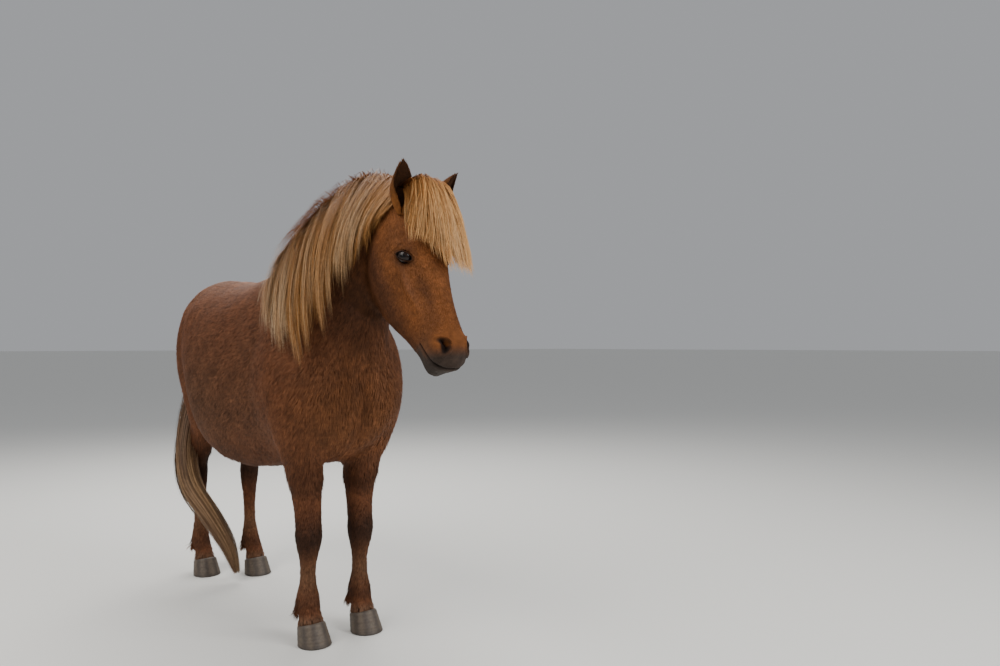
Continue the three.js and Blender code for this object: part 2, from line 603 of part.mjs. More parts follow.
function tailFrame(t) {
  const pathAt = (q) => {
    const k = stationAt(TAIL_KEYS, q);
    return new THREE.Vector3(k.x, k.y, k.z);
  };
  const tangent = pathAt(t + 0.1).sub(pathAt(t - 0.1)).normalize();
  const front = tangent.clone().cross(SIDE).normalize();
  const side = front.clone().cross(tangent).normalize();
  return { centre: pathAt(t), side, front, size: stationAt(TAIL_KEYS, t) };
}

function tail() {
  const slim = ({ half, front, back, ...place }) => ({
    ...place, half: half * 0.55, front: front * 0.55, back: back * 0.55,
  });
  const locks = [limb(TAIL_KEYS.slice(0, 6).map(slim), 8, 1, 0)];
  const count = 11;
  for (let i = 0; i < count; i++) {
    const angle = i * 2.4 + random(-0.3, 0.3);
    const first = THREE.MathUtils.lerp(0.7, 5.6, i / (count - 1));
    const end = Math.min(9.95, first + random(4.1, 4.7));
    const spread = random(0.7, 1);
    const radial = (f) => {
      const { side, front } = tailFrame(first + (end - first) * f);
      return side.multiplyScalar(Math.cos(angle)).addScaledVector(front, Math.sin(angle));
    };
    const pathAt = (f) => {
      const { centre, size } = tailFrame(first + (end - first) * Math.min(1, f));
      const reach = spread * Math.min(1, 0.15 + f * 2) * (Math.sin(angle) > 0 ? size.front : size.back);
      return centre.addScaledVector(radial(f), Math.min(reach, Math.max(size.half, 30) * 1.2));
    };
    locks.push(lock(pathAt, radial, 76, 26, 6));
  }
  return join(locks);
}

// Feather: short locks behind each fetlock.
function feather(x, y, z) {
  return [-45, 0, 45].map((turn) => {
    const away = new THREE.Vector3(Math.sin(rad(turn)), Math.cos(rad(turn)), 0);
    const length = random(58, 70);
    const pathAt = (f) =>
      new THREE.Vector3(x, y, z).addScaledVector(away, 34 + 34 * f).add(
        new THREE.Vector3(0, 0, -length * f),
      );
    return lock(pathAt, () => away.clone(), 46, 22, 3);
  });
}

// Assembly
const backOfHead = onHead(0, 0, -38);
const throatLatch = onHead(0, -275, 44);
const headPlane = throatLatch.clone().sub(backOfHead).cross(headLeft).normalize();
if (headPlane.dot(headDown) < 0) headPlane.negate();
const neckPlanePoint = new THREE.Vector3(0, -300, 1372);
const neckPlane = new THREE.Vector3(0, -0.6985, 0.7156).normalize();

function bodyWith(grow) {
  const feet = { [-1]: HIND_FEET.rightY, 1: HIND_FEET.leftY };
  return join([
    trunk(grow),
    ...[-1, 1].flatMap((sign) => [shoulder(sign, grow), haunch(sign, feet[sign], grow)]),
    neck(grow),
  ]);
}

const body = bodyWith(0).add(head()).subtract(headCuts());
const neckward = beyond(neckPlanePoint, neckPlane);
const behind = beyond(neckPlanePoint, neckPlane.clone().negate());
const headSide = beyond(backOfHead, headPlane);
const neckSide = beyond(backOfHead, headPlane.clone().negate());
const torsoNode = largest(body.intersect(behind));
const front = body.intersect(neckward);
const earSolids = { left: ear(1), right: ear(-1) };
const headNode = largest(front.intersect(headSide));
const neckNode = largest(front.intersect(neckSide));
const grown = bodyWith(GAP + 0.1).add(head(GAP + 0.1));

const group = new THREE.Group();

// The vertices and triangles of a solid as a three.js geometry.
function geometryOf(made) {
  const mesh = made.getMesh();
  const positions = new Float32Array(mesh.numVert * 3);
  for (let i = 0; i < mesh.numVert; i++) {
    positions.set(mesh.vertProperties.subarray(i * mesh.numProp, i * mesh.numProp + 3), i * 3);
  }
  const geometry = new THREE.BufferGeometry();
  geometry.setAttribute("position", new THREE.BufferAttribute(positions, 3));
  geometry.setIndex(new THREE.BufferAttribute(mesh.triVerts, 1));
  return geometry;
}

// The largest closed body is what stays once near vertices have merged.
function addNode(name, made, colour, roughness) {
  const kept = largest(solid(geometryOf(largest(made))));
  const geometry = geometryOf(kept);
  geometry.computeVertexNormals();
  const node = new THREE.Mesh(geometry, new THREE.MeshStandardMaterial({ color: colour, roughness, metalness: 0 }));
  node.name = name;
  group.add(node);
  return kept;
}

const hooves = [];
const grownLegs = [];
for (const [name, sign] of [["right", -1], ["left", 1]]) {
  const hindY = sign < 0 ? HIND_FEET.rightY : HIND_FEET.leftY;
  const legs = [
    { end: "front", keys: frontLegKeys(sign), x: sign * FRONT_FEET.x, y: FRONT_FEET.y - 32 },
    { end: "hind", keys: hindLegKeys(sign), x: sign * HIND_FEET.x, y: hindY - 6 },
  ];
  for (const leg of legs) {
    const wall = hoof(leg.x, leg.y, 0);
    const fetlock = leg.keys[10];
    const shaggy = join([limb(leg.keys, 10, 0.8, 0), ...feather(fetlock.x, fetlock.y, fetlock.z)]);
    const shaft = shaggy.subtract(grown).subtract(hoof(leg.x, leg.y, GAP));
    grownLegs.push(limb(leg.keys, 10, 0.8, GAP + 0.1), hoof(leg.x, leg.y, GAP));
    addNode(`leg_${leg.end}_${name}`, largest(shaft), COLOURS.coat, 0.9);
    hooves.push([`hoof_${leg.end}_${name}`, wall]);
  }
}
hooves.forEach(([name, wall]) => addNode(name, wall, COLOURS.hoof, 0.6));
addNode("torso", torsoNode, COLOURS.coat, 0.9);
addNode("neck", neckNode, COLOURS.coat, 0.9);
addNode("head", headNode, COLOURS.coat, 0.9);
addNode("ear_right", largest(earSolids.right.subtract(grown)), COLOURS.coat, 0.9);
addNode("ear_left", largest(earSolids.left.subtract(grown)), COLOURS.coat, 0.9);
addNode("eye_right", eyeball(-1, 0), COLOURS.eye, 0.1);
addNode("eye_left", eyeball(1, 0), COLOURS.eye, 0.1);
const hairLimit = [onHead(0, 0, 8), headDown.clone().addScaledVector(headOut, 0.5).normalize()];
const maneSide = beyond(hairLimit[0], hairLimit[1].clone().negate());
const forelockSide = beyond(...hairLimit);
const ears = join([earLoft(-1, false, GAP), earLoft(1, false, GAP)]);
addNode("mane", mane().intersect(maneSide).subtract(grown).subtract(ears), COLOURS.mane, 0.8);
const fringe = forelock().intersect(forelockSide).subtract(grown).subtract(ears);
addNode("forelock", fringe.subtract(eyeball(-1, GAP)).subtract(eyeball(1, GAP)), COLOURS.mane, 0.8);
addNode("tail", tail().subtract(grown).subtract(join(grownLegs)), COLOURS.tail, 0.8);

// The origin is the middle of the box round the animal, at the level of the soles.
const box = new THREE.Box3().setFromObject(group);
const middle = box.getCenter(new THREE.Vector3());
group.position.set(-middle.x, -middle.y, -box.min.z);

export default group;
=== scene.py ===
# %% [markdown]
# # An Icelandic horse in its winter coat
# The imported CAD part gives the horse's flesh, eyes, hooves and long hair as plain solids in one
# fixed frame, in metres. This file dresses them: one smooth skin, a coat of short tufts that are
# longer behind the fetlocks, and thousands of strands for the mane, forelock and tail.
# The frame is loaded first, and its record is kept. The dressed horse has to stay inside it.

import json
import math

import bpy
import bmesh
import numpy as np
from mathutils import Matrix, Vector
from mathutils.bvhtree import BVHTree


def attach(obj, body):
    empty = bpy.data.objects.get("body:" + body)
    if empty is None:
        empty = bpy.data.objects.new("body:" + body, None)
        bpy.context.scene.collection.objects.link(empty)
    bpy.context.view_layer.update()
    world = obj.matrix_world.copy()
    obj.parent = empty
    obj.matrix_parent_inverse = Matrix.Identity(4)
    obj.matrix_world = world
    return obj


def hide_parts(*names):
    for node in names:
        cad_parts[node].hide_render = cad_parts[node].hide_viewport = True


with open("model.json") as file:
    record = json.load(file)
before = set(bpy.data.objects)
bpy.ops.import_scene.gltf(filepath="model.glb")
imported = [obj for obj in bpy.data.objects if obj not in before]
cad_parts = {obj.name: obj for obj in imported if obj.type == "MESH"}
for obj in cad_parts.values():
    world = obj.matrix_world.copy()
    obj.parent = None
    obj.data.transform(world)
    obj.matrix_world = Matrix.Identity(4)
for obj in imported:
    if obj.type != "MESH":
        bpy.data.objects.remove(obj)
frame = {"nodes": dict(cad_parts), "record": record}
nodes = frame["nodes"]
bpy.context.view_layer.update()
draws = np.random.default_rng(11)

# %% [markdown]
# The CAD was drawn in millimetres, with the front feet at y = -555. In model.glb the origin lies in
# the middle of the whole box. One sole tells how far, so that a place on the drawing can be used here.

# %% From the drawing to the frame
sole = next(m for m in frame["record"]["mounts"] if m["name"] == "sole_front_left")
DRAWN_SOLE_Y = -0.555
BACK = np.array([0.0, sole["pos_m"][1] - DRAWN_SOLE_Y, 0.0])


def place(drawn):
    return np.asarray(drawn, float) / 1000 + BACK


def drawing(points):
    return (points - BACK) * 1000


print("moved back by", BACK[1])

# %% [markdown]
# ## Camera
# The photo was taken from beside the horse's right shoulder, at the height of its chest. The
# horizon lies a little under the middle of the picture, which a small lens shift gives without
# tilting the camera, so upright legs stay upright.

# %% Camera at the photo's viewpoint
WIDTH_PX = 1000
HORIZON_BELOW_MIDDLE_PX = 12
FOCAL_PX = 777.8
SENSOR_MM = 36
camera = bpy.data.objects.new("camera", bpy.data.cameras.new("camera"))
camera.data.sensor_width = SENSOR_MM
camera.data.lens = SENSOR_MM * FOCAL_PX / WIDTH_PX
camera.data.shift_y = HORIZON_BELOW_MIDDLE_PX / WIDTH_PX
camera.location = place([-1369, -3061.5, 1050])
camera.rotation_euler = (math.radians(90), 0, math.radians(-40.2))
bpy.context.scene.collection.objects.link(camera)
bpy.context.scene.camera = camera
print("lens", round(camera.data.lens, 2), "mm")

# %% [markdown]
# ## Colours and nodes
# Colours are written as sRGB hex, as a picture editor shows them. Blender mixes light in linear
# values, so one function turns them. Another adds a node with its settings and links.


# %% Colour and node helpers
def linear(hex_colour):
    parts = [int(hex_colour[i : i + 2], 16) / 255 for i in (1, 3, 5)]
    return np.array([p / 12.92 if p <= 0.04045 else ((p + 0.055) / 1.055) ** 2.4 for p in parts])


def add_node(material, kind, settings=None, **links):
    node = material.node_tree.nodes.new(kind)
    for name, value in (settings or {}).items():
        if hasattr(node, name):
            setattr(node, name, value)
        else:
            node.inputs[name].default_value = value
    for name, source in links.items():
        socket = node.inputs[int(name[1:])] if name[0] == "_" else node.inputs[name]
        material.node_tree.links.new(source, socket)
    return node


def new_material(name, **shader):
    material = bpy.data.materials.new(name)
    material.use_nodes = True
    surface = material.node_tree.nodes["Principled BSDF"]
    for socket, value in shader.items():
        surface.inputs[socket.replace("_", " ")].default_value = value
    return material, surface


# %% [markdown]
# ## Shapes of the drawing
# The neck, the head and the tail each have a frame of their own. A Catmull-Rom curve runs through
# their key stations, as in the CAD, and it works on whole arrays here, so that ten thousand hairs
# are placed at once.


# %% Curves through key stations
def along_keys(keys, t):
    last = len(keys) - 1
    i = np.clip(np.floor(t).astype(int), 0, last - 1)
    f = (t - i)[..., None]
    a, b, c, d = (keys[np.clip(i + k, 0, last)] for k in (-1, 0, 1, 2))
    return 0.5 * (2 * b + (c - a) * f + (2 * a - 5 * b + 4 * c - d) * f**2 + (3 * b - a - 3 * c + d) * f**3)


def unit(vectors):
    return vectors / np.maximum(np.linalg.norm(vectors, axis=-1, keepdims=True), 1e-9)


def smooth_step(low, high, value):
    f = np.clip((value - low) / (high - low), 0, 1)
    return f * f * (3 - 2 * f)


def bell(value, middle, reach):
    return np.exp(-(((value - middle) / reach) ** 2))


def between(a, b, f):
    return a * (1 - f) + b * f


def mix(a, b, f):
    """Between two vectors or colours, for each place."""
    f = np.asarray(f, float)[..., None]
    return a * (1 - f) + b * f


# Neck stations: crest x, y, z, throat x, y, z, and half the width.
NECK_KEYS = np.array([
    [0, -110, 1295, 0, -300, 700, 200],
    [0, -240, 1378, 0, -590, 800, 212],
    [2, -345, 1452, 0, -712, 925, 190],
    [8, -465, 1526, 4, -760, 1050, 158],
    [16, -600, 1574, 10, -790, 1150, 130],
    [24, -745, 1590, 18, -808, 1235, 112],
    [32, -872, 1572, 26, -828, 1300, 100],
    [36, -962, 1536, 32, -872, 1362, 86],
], float)


def neck_point(t, angle, out):
    """A drawn point at a neck station: angle 0 is the horse's right, 90 the crest, 180 its left."""
    k = along_keys(NECK_KEYS, t)
    crest, throat = k[..., 0:3], k[..., 3:6]
    up = crest - throat
    height = np.linalg.norm(up, axis=-1, keepdims=True) / 2 + out[..., None]
    up = unit(up)
    step = along_keys(NECK_KEYS, t + 0.1)[..., 0:3] - along_keys(NECK_KEYS, t - 0.1)[..., 0:3]
    side = unit(np.cross(step, up))
    c, s = np.cos(np.radians(angle))[..., None], np.sin(np.radians(angle))[..., None]
    power = np.where(s > 0, 2 / 1.85, 2 / 2.1)
    narrow = 1 + (np.where(s > 0, 0.8, 0.95) - 1) * s * s
    across = (k[..., 6:7] + out[..., None]) * narrow * np.sign(c) * np.abs(c) ** power
    upward = height * np.sign(s) * np.abs(s) ** power
    return (crest + throat) / 2 + side * across + up * upward


# %% The head's own frame
POLL = np.array([38.0, -990.0, 1532.0])
PITCH, TURN = math.radians(66), math.radians(4)
forward = np.array([math.sin(TURN), -math.cos(TURN), 0])
HEAD_DOWN = forward * math.cos(PITCH) + np.array([0, 0, -math.sin(PITCH)])
HEAD_OUT = forward * math.sin(PITCH) + np.array([0, 0, math.cos(PITCH)])
HEAD_LEFT = np.cross(HEAD_OUT, HEAD_DOWN)
HEAD_AXES = np.stack([HEAD_LEFT, HEAD_OUT, HEAD_DOWN])
EYE = {"u": 75.0, "v": -57.0, "s": 202.0, "radius": 23.5}


def to_head(points):
    """Left of the middle, out of the forehead and down the nose, in millimetres from the poll."""
    return (drawing(points) - POLL) @ HEAD_AXES.T


def from_head(uvs):
    return place(np.asarray(uvs, float) @ HEAD_AXES + POLL)


def headness(points):
    u, v, s = to_head(points).T
    inside = (np.abs(u) < 140) & (v > -350) & (v < 60) & (s < 620)
    return inside * smooth_step(-60, 20, s + 38 + v * 0.3)


print("head points along", HEAD_DOWN.round(2))

# %% [markdown]
# ## Skin
# A live horse has one skin with no seams. The CAD's flesh is in pieces, so their meshes are joined
# and remeshed as voxels, which melts them into one surface. Smoothing takes the facets off, less on
# the lean legs and the bony head than on the round trunk. Then the skin goes in by the coat's depth.

# %% Join and remesh the flesh
FLESH = ["torso", "neck", "head", "leg_front_right", "leg_front_left", "leg_hind_right", "leg_hind_left"]
VOXEL = 0.01
WELD = 1e-5

joined = bmesh.new()
for part in FLESH:
    joined.from_mesh(nodes[part].data)
bmesh.ops.remove_doubles(joined, verts=joined.verts, dist=WELD)
source_mesh = bpy.data.meshes.new("skin")
joined.to_mesh(source_mesh)
joined.free()
source_mesh.materials.clear()
source = bpy.data.objects.new("skin_source", source_mesh)
bpy.context.scene.collection.objects.link(source)
remesh = source.modifiers.new("voxels", "REMESH")
remesh.mode = "VOXEL"
remesh.voxel_size = VOXEL
skin_mesh = bpy.data.meshes.new_from_object(source.evaluated_get(bpy.context.evaluated_depsgraph_get()))
bpy.data.objects.remove(source)
print("skin", len(skin_mesh.vertices), "vertices")


# %% Read and write points
def read(items, field, width, kind=float):
    flat = np.zeros(len(items) * width, kind)
    items.foreach_get(field, flat)
    return flat.reshape(-1, width)


def points_of(mesh):
    return read(mesh.vertices, "co", 3)


def normals_of(mesh):
    return read(mesh.vertices, "normal", 3)


def edges_of(mesh):
    return read(mesh.edges, "vertices", 2, np.int32)


def triangles_of(mesh):
    mesh.calc_loop_triangles()
    return read(mesh.loop_triangles, "vertices", 3, np.int32)


def set_points(mesh, points):
    mesh.vertices.foreach_set("co", points.astype(np.float32).ravel())
    mesh.update()


def relax(points, edges, weight, rounds):
    """Each round draws every point part of the way to the middle of its neighbours."""
    a, b = edges.T
    n = len(points)
    count = np.maximum(np.bincount(np.r_[a, b], minlength=n), 1)[:, None]
    for _ in range(rounds):
        sums = [np.bincount(a, points[b, k], n) + np.bincount(b, points[a, k], n) for k in range(3)]
        total = np.stack(sums, 1)
        points = points + (0.6 * weight)[:, None] * (total / count - points)
    return points


# %% Smooth and sink the skin
def legness(points):
    return 1 - smooth_step(0.55, 0.8, points[:, 2])


BODY_COAT, LEG_COAT, FACE_COAT = 0.007, 0.004, 0.0025


def coat_depth(points):
    body = between(BODY_COAT, LEG_COAT, legness(points))
    return between(body, FACE_COAT, headness(points))


# By height: how far the back of a leg reaches behind its foot, without the CAD's locks.
FRONT_BACK = [[40, 82, 108, 142, 172, 215, 275], [14, 33, 36, 56, 54, 45, 45]]
HIND_BACK = [[40, 84, 118, 158, 190, 235, 320], [32, 57, 75, 110, 114, 111, 116]]
FRONT_FOOT_Y, RIGHT_HIND_Y, LEFT_HIND_Y = -515, 548, 412
FRONT_LEG_X, HIND_LEG_X, LEG_HALF_WIDTH, LOCKS_TOP = 104, 92, 44, 250


def without_feather(points):
    """The CAD has locks behind the fetlocks. They are drawn back in, and tufts take their place."""
    x, y, z = drawing(points).T
    front = y < 0
    foot = np.where(front, FRONT_FOOT_Y, np.where(x < 0, RIGHT_HIND_Y, LEFT_HIND_Y))
    back = np.where(front, np.interp(z, *FRONT_BACK), np.interp(z, *HIND_BACK)) + foot
    middle = np.sign(x) * np.where(front, FRONT_LEG_X, HIND_LEG_X)
    low = z < LOCKS_TOP
    kept_y = np.where(low, np.minimum(y, back), y)
    kept_x = np.where(low, np.clip(x, middle - LEG_HALF_WIDTH, middle + LEG_HALF_WIDTH), x)
    return place(np.stack([kept_x, kept_y, z], 1))


SMOOTHING_ROUNDS = 46
points = without_feather(points_of(skin_mesh))
firm = np.maximum(legness(points), headness(points))
points = relax(points, edges_of(skin_mesh), 1 - 0.9 * firm, SMOOTHING_ROUNDS)
set_points(skin_mesh, points)
set_points(skin_mesh, points - normals_of(skin_mesh) * coat_depth(points)[:, None])
print("coat depth from", coat_depth(points).min(), "to", coat_depth(points).max())

# %% [markdown]
# ## Muscles
# The trunk of the CAD is plain. Under a horse's coat lie the shoulder blade, the breast's two
# rounds with a furrow between, the triceps over the elbow, the flank's hollow and the gaskin.
# Each is a soft swell or dip, added along the skin's own direction.

# %% Soft swells and dips
# Place (x is for one side), reach along x, y, z, and how far it lifts the skin, all in millimetres.
FORMS = [
    ([70, -700, 860], [55, 60, 120], 16),  # breast round
    ([0, -735, 840], [16, 70, 130], -15),  # furrow between the breast rounds
    ([235, -430, 880], [80, 90, 120], 12),  # triceps
    ([240, -520, 1010], [70, 50, 140], 9),  # point of the shoulder
    ([225, -330, 1080], [80, 34, 190], -9),  # groove behind the shoulder blade
    ([200, -505, 1180], [90, 40, 120], -6),  # groove before the shoulder blade
    ([240, 300, 830], [90, 90, 110], -14),  # flank
    ([210, 360, 1180], [80, 70, 50], 8),  # point of the hip
    ([190, 560, 1010], [80, 60, 170], 7),  # thigh
    ([160, 620, 860], [60, 50, 120], -6),  # groove between the thigh muscles
    ([0, 420, 1360], [22, 200, 60], -8),  # furrow along the croup
    ([150, -700, 1080], [70, 60, 130], -8),  # groove of the neck's vein
    ([118, -560, 640], [50, 40, 60], 7),  # forearm muscle
    ([80, -530, 700], [30, 60, 60], -8),  # inside of the forearm
]


MUSCLE_TONE = 1.3


def swell(local, forms):
    """How far the forms together lift each place. They are the same on both sides."""
    mirrored = np.concatenate([np.abs(local[:, :1]), local[:, 1:]], 1)
    total = np.zeros(len(local))
    for centre, reach, height in forms:
        total += height * np.exp(-0.5 * (((mirrored - centre) / reach) ** 2).sum(1))
    return total


def push_out(mesh, lift):
    set_points(mesh, points_of(mesh) + normals_of(mesh) * lift[:, None] / 1000)


push_out(skin_mesh, MUSCLE_TONE * swell(drawing(points_of(skin_mesh)), FORMS))
print(len(FORMS), "forms of muscle")

# %% [markdown]
# ## Head
# The head gets the most care. Its part of the skin is divided once, and the muzzle and the places
# round the eyes once more, so that there is mesh enough for the bones, nostrils and lips.


# %% Finer mesh on the head
def refine(mesh, chosen):
    work = bmesh.new()
    work.from_mesh(mesh)
    work.verts.ensure_lookup_table()
    flags = chosen(points_of(mesh))
    edges = [e for e in work.edges if flags[e.verts[0].index] and flags[e.verts[1].index]]
    bmesh.ops.subdivide_edges(work, edges=edges, cuts=1, use_grid_fill=True, smooth=0.0)
    work.to_mesh(mesh)
    work.free()


def fine_places(points):
    u, v, s = to_head(points).T
    muzzle = (s > 455) & (s < 640) & (v > -220) & (np.abs(u) < 120)
    eye = (np.abs(s - EYE["s"]) < 52) & (np.abs(v - EYE["v"]) < 48)
    eye &= (np.abs(u) > 60) & (np.abs(u) < 130)
    return muzzle | eye


refine(skin_mesh, lambda p: headness(p) > 0.5)
refine(skin_mesh, fine_places)
points = points_of(skin_mesh)
rounded = relax(points, edges_of(skin_mesh), headness(points) * 0.9, 5)
u, v, s = to_head(rounded).T
from_eye = np.hypot(v - EYE["v"], s - EYE["s"])
socket = headness(rounded) * (np.abs(u) > 50) * (1 - smooth_step(34, 46, from_eye))
SOCKET_ROUNDS = 130
set_points(skin_mesh, relax(rounded, edges_of(skin_mesh), socket, SOCKET_ROUNDS))
print("skin with head", len(skin_mesh.vertices), "vertices")

# %% Bones and hollows of the face
# Place in the head's frame (u for one side, v, s), reach and lift in millimetres.
FACE = [
    ([84, -77, 262], [30, 9, 44], 6),  # ridge of the cheekbone under the eye
    ([84, -79, 330], [30, 9, 40], 6),  # its lower end
    ([84, -98, 320], [30, 14, 60], -5),  # hollow under it
    ([84, -50, 168], [26, 12, 14], 4),  # brow, back end
    ([82, -32, 190], [26, 12, 14], 5),  # brow, front end
    ([78, -30, 148], [24, 16, 20], -5),  # hollow over the eye
    ([62, -34, 345], [22, 20, 70], -7),  # side of the nose bone
    ([36, 2, 330], [20, 14, 110], 3),  # edge of the nose bone
    ([70, -95, 430], [24, 26, 36], 3),  # cheek over the teeth
    ([86, -200, 175], [40, 60, 70], 6),  # jaw muscle
    ([86, -140, 250], [36, 16, 60], -4),  # groove before the jaw muscle
    ([80, -270, 260], [40, 18, 50], -4),  # dip of the jaw's edge
    ([70, -42, 492], [22, 26, 14], 4),  # over the nostril
    ([64, -66, 540], [24, 14, 18], 4),  # under the nostril
    ([40, -96, 556], [30, 12, 20], 3),  # upper lip
    ([30, -146, 540], [30, 14, 24], 4),  # lower lip
]


points = points_of(skin_mesh)
push_out(skin_mesh, swell(to_head(points), FACE) * headness(points))
print(len(FACE), "forms of the face")

# %% Nostrils and mouth
NOSTRIL = {"u": 44.0, "s": 516.0, "long": 25.0, "wide": 13.5, "deep": 26.0}
MOUTH = {"v": -83.0, "s": 549.0, "slope": 0.41, "corner": 470.0}


def nostril_measure(u, v, s):
    """0 in the middle of the nostril and 1 on its edge. It is long down the nose, and curls out."""
    long = (s - NOSTRIL["s"]) / NOSTRIL["long"]
    wide = (np.abs(u) - NOSTRIL["u"] - 7 * long**2 + 5 * long) / NOSTRIL["wide"]
    return np.sqrt(long**2 + wide**2) + 3.0 * smooth_step(-46, -62, v)


def mouth_line(s):
    return MOUTH["v"] + MOUTH["slope"] * (s - MOUTH["s"]) + 10 * smooth_step(568, 584, s)


points = points_of(skin_mesh)
u, v, s = to_head(points).T
old_nostril = headness(points) * (s > 470) * (s < 575) * (np.abs(u) > 26) * (v > -100)
points = relax(points, edges_of(skin_mesh), old_nostril, 40)
set_points(skin_mesh, points)
u, v, s = to_head(points).T
on_head = headness(points)
measure = nostril_measure(u, v, s)
outward = on_head * (s > 470) * (s < 575)
hollow = outward * NOSTRIL["deep"] * (1 - smooth_step(0.5, 1.02, measure))
rim = outward * 4.5 * bell(measure, 1.28, 0.22)
from_mouth = v - mouth_line(s)
near_mouth = bell(from_mouth, 0, 2.6) * (s > MOUTH["corner"]) * (s < 600)
lips = (bell(from_mouth, 11, 8) + bell(from_mouth, -11, 8)) * smooth_step(480, 530, s)
push_out(skin_mesh, rim - hollow - 7.0 * near_mouth * on_head + 3.0 * lips * on_head)
print("nostril points", int((hollow > 1).sum()), "mouth points", int((near_mouth > 0.4).sum()))

# %% [markdown]
# ## Lids
# A lid is a soft edge that hugs the eyeball. Each eye looks out, a little forward and down, and gets
# a ring of skin round that axis. Its inner edge is the almond opening, lying on the ball, and its
# outer edge dips into the face. The face under the ring is pushed in, so that only the eye shows.

# %% Eyelids
OPEN = {"long": 25.0, "up": 13.5, "down": 12.0, "turn": math.radians(50)}
LID_AROUND, LID_RINGS = 56, 11
PUSHED_IN = 22


def opening(angle, scale):
    along = OPEN["long"] * np.cos(angle) * scale
    height = np.where(np.sin(angle) > 0, OPEN["up"], OPEN["down"])
    return along, height * np.sign(np.sin(angle)) * np.abs(np.sin(angle)) ** 1.15 * (0.35 + 0.65 * scale)


def surface_of(mesh):
    return BVHTree.FromPolygons(points_of(mesh).tolist(), triangles_of(mesh).tolist())


def eye_frame(sign):
    """Middle of the ball, its outward axis, and the opening's long and high directions, on the head."""
    out = unit(np.array([sign * 0.82, 0.5, 0.2]))
    along = np.array([0, math.sin(OPEN["turn"]), math.cos(OPEN["turn"])])
    along = unit(along - out * (along @ out))
    high = np.cross(along, out) * sign
    return np.array([sign * EYE["u"], EYE["v"], EYE["s"]]), out, along, high


def eye_reach(local, sign):
    """1 at the outer edge of the lid's ring, and 0 in the middle of the eye."""
    middle, out, along, high = eye_frame(sign)
    away = local - middle
    size = np.hypot(away @ along / OPEN["long"], away @ high / OPEN["up"]) / 1.5
    return np.where(away @ out > -30, size, 9.0)


def lid_ring(tree, sign):
    middle, out, along, high = eye_frame(sign)
    angle = np.linspace(0, 2 * np.pi, LID_AROUND, endpoint=False)
    rows = []
    for ring in range(LID_RINGS):
        f = ring / (LID_RINGS - 1)
        a, h = opening(angle, 0.92 + 0.75 * f)
        ball = np.sqrt(np.maximum(EYE["radius"] ** 2 - a**2 - h**2, (0.3 * EYE["radius"]) ** 2))
        fold = 2.4 * bell(f, 0.7, 0.1)
        lid = ball + 1.0 + 2.8 * math.sin(math.pi * min(1, 1.5 * f)) - fold
        if ring == 0:
            lid -= 3.5
        flat = middle + a[:, None] * along + h[:, None] * high
        face = []
        for start in flat + out * 120:
            hit = tree.ray_cast(Vector(from_head(start)), Vector(-(out @ HEAD_AXES)))[0]
            face.append((to_head(np.array([hit if hit else from_head(start)]))[0] - middle) @ out)
        height = between(lid, np.array(face) - 1.2, smooth_step(0.3, 0.95, f))
        rows.append(flat + height[:, None] * out)
    return from_head(np.concatenate(rows))


def ring_quads(rings, around):
    """Four corners of each face between closed rings of points."""
    a = (np.arange(rings - 1)[:, None] * around + np.arange(around)).ravel()
    b = a - a % around + (a + 1) % around
    return np.stack([a, b, b + around, a + around], 1)


def ring_map(rings, around):
    """Flat places for closed rings: round them, and from one end to the other."""
    return np.stack([
        np.tile(np.arange(around) / around, rings), np.repeat(np.linspace(0, 1, rings), around),
    ], 1)


tree = surface_of(skin_mesh)
lids = [lid_ring(tree, sign) for sign in (-1, 1)]
local = to_head(points_of(skin_mesh))
for sign in (-1, 1):
    near_eye = 1 - smooth_step(0.62, 1.02, eye_reach(local, sign))
    local -= (PUSHED_IN * near_eye * headness(points_of(skin_mesh)))[:, None] * eye_frame(sign)[1]
set_points(skin_mesh, from_head(local))
print("lid points", sum(len(l) for l in lids))

# %% [markdown]
# ## Ears
# An ear is a leaf rolled into a cup: nearly a tube at its base, open in front, and pointed. Each is
# made again on the CAD ear's own axis, as an outer and an inner wall that meet at the rim.

# %% Ears and one skin object
EAR = {"length": 128.0, "width": 36.0, "depth": 27.0, "wall": 3.5, "u": 72.0, "v": -8.0, "s": 34.0}
EAR_LEAN = {-1: -0.12, 1: 0.42}
# How far along, half the width, half the depth, and how far round the back the wall reaches.
EAR_KEYS = np.array([
    [-0.3, 0.3, 0.35, 178], [-0.14, 0.62, 0.7, 174], [0.04, 0.9, 1.0, 160], [0.25, 1.04, 1.05, 138],
    [0.5, 0.94, 0.9, 118], [0.75, 0.64, 0.62, 104], [0.92, 0.32, 0.34, 96], [1.01, 0.04, 0.06, 90],
], float)
EAR_RINGS, EAR_AROUND = 30, 35


def ear_axes(sign):
    axis = unit(np.array([EAR_LEAN[sign], 0.62, -0.85]))
    across = unit(np.cross(axis, np.array([sign * 0.55, 1, 0.35])))
    return axis, np.cross(across, axis), across, np.array([sign * EAR["u"], EAR["v"], EAR["s"]])


def ear_wall(sign, thin):
    axis, face, across, root = ear_axes(sign)
    k = along_keys(EAR_KEYS, np.linspace(0, len(EAR_KEYS) - 1, EAR_RINGS))[:, None, :]
    turn = np.radians(k[..., 3]) * np.linspace(-1, 1, EAR_AROUND)[None, :]
    at = k[..., 0]
    wide = np.maximum(EAR["width"] * k[..., 1] - thin, 0.4) * np.sin(turn)
    deep = -np.maximum(EAR["depth"] * k[..., 2] - thin, 0.4) * np.cos(turn) + 16 * at**2
    deep = deep + 3 * np.sin(np.pi * np.clip(at, 0, 1)) * np.sin(turn * 3)
    grid = root + axis * (at * EAR["length"])[..., None] + across * wide[..., None] + face * deep[..., None]
    return grid.reshape(-1, 3)


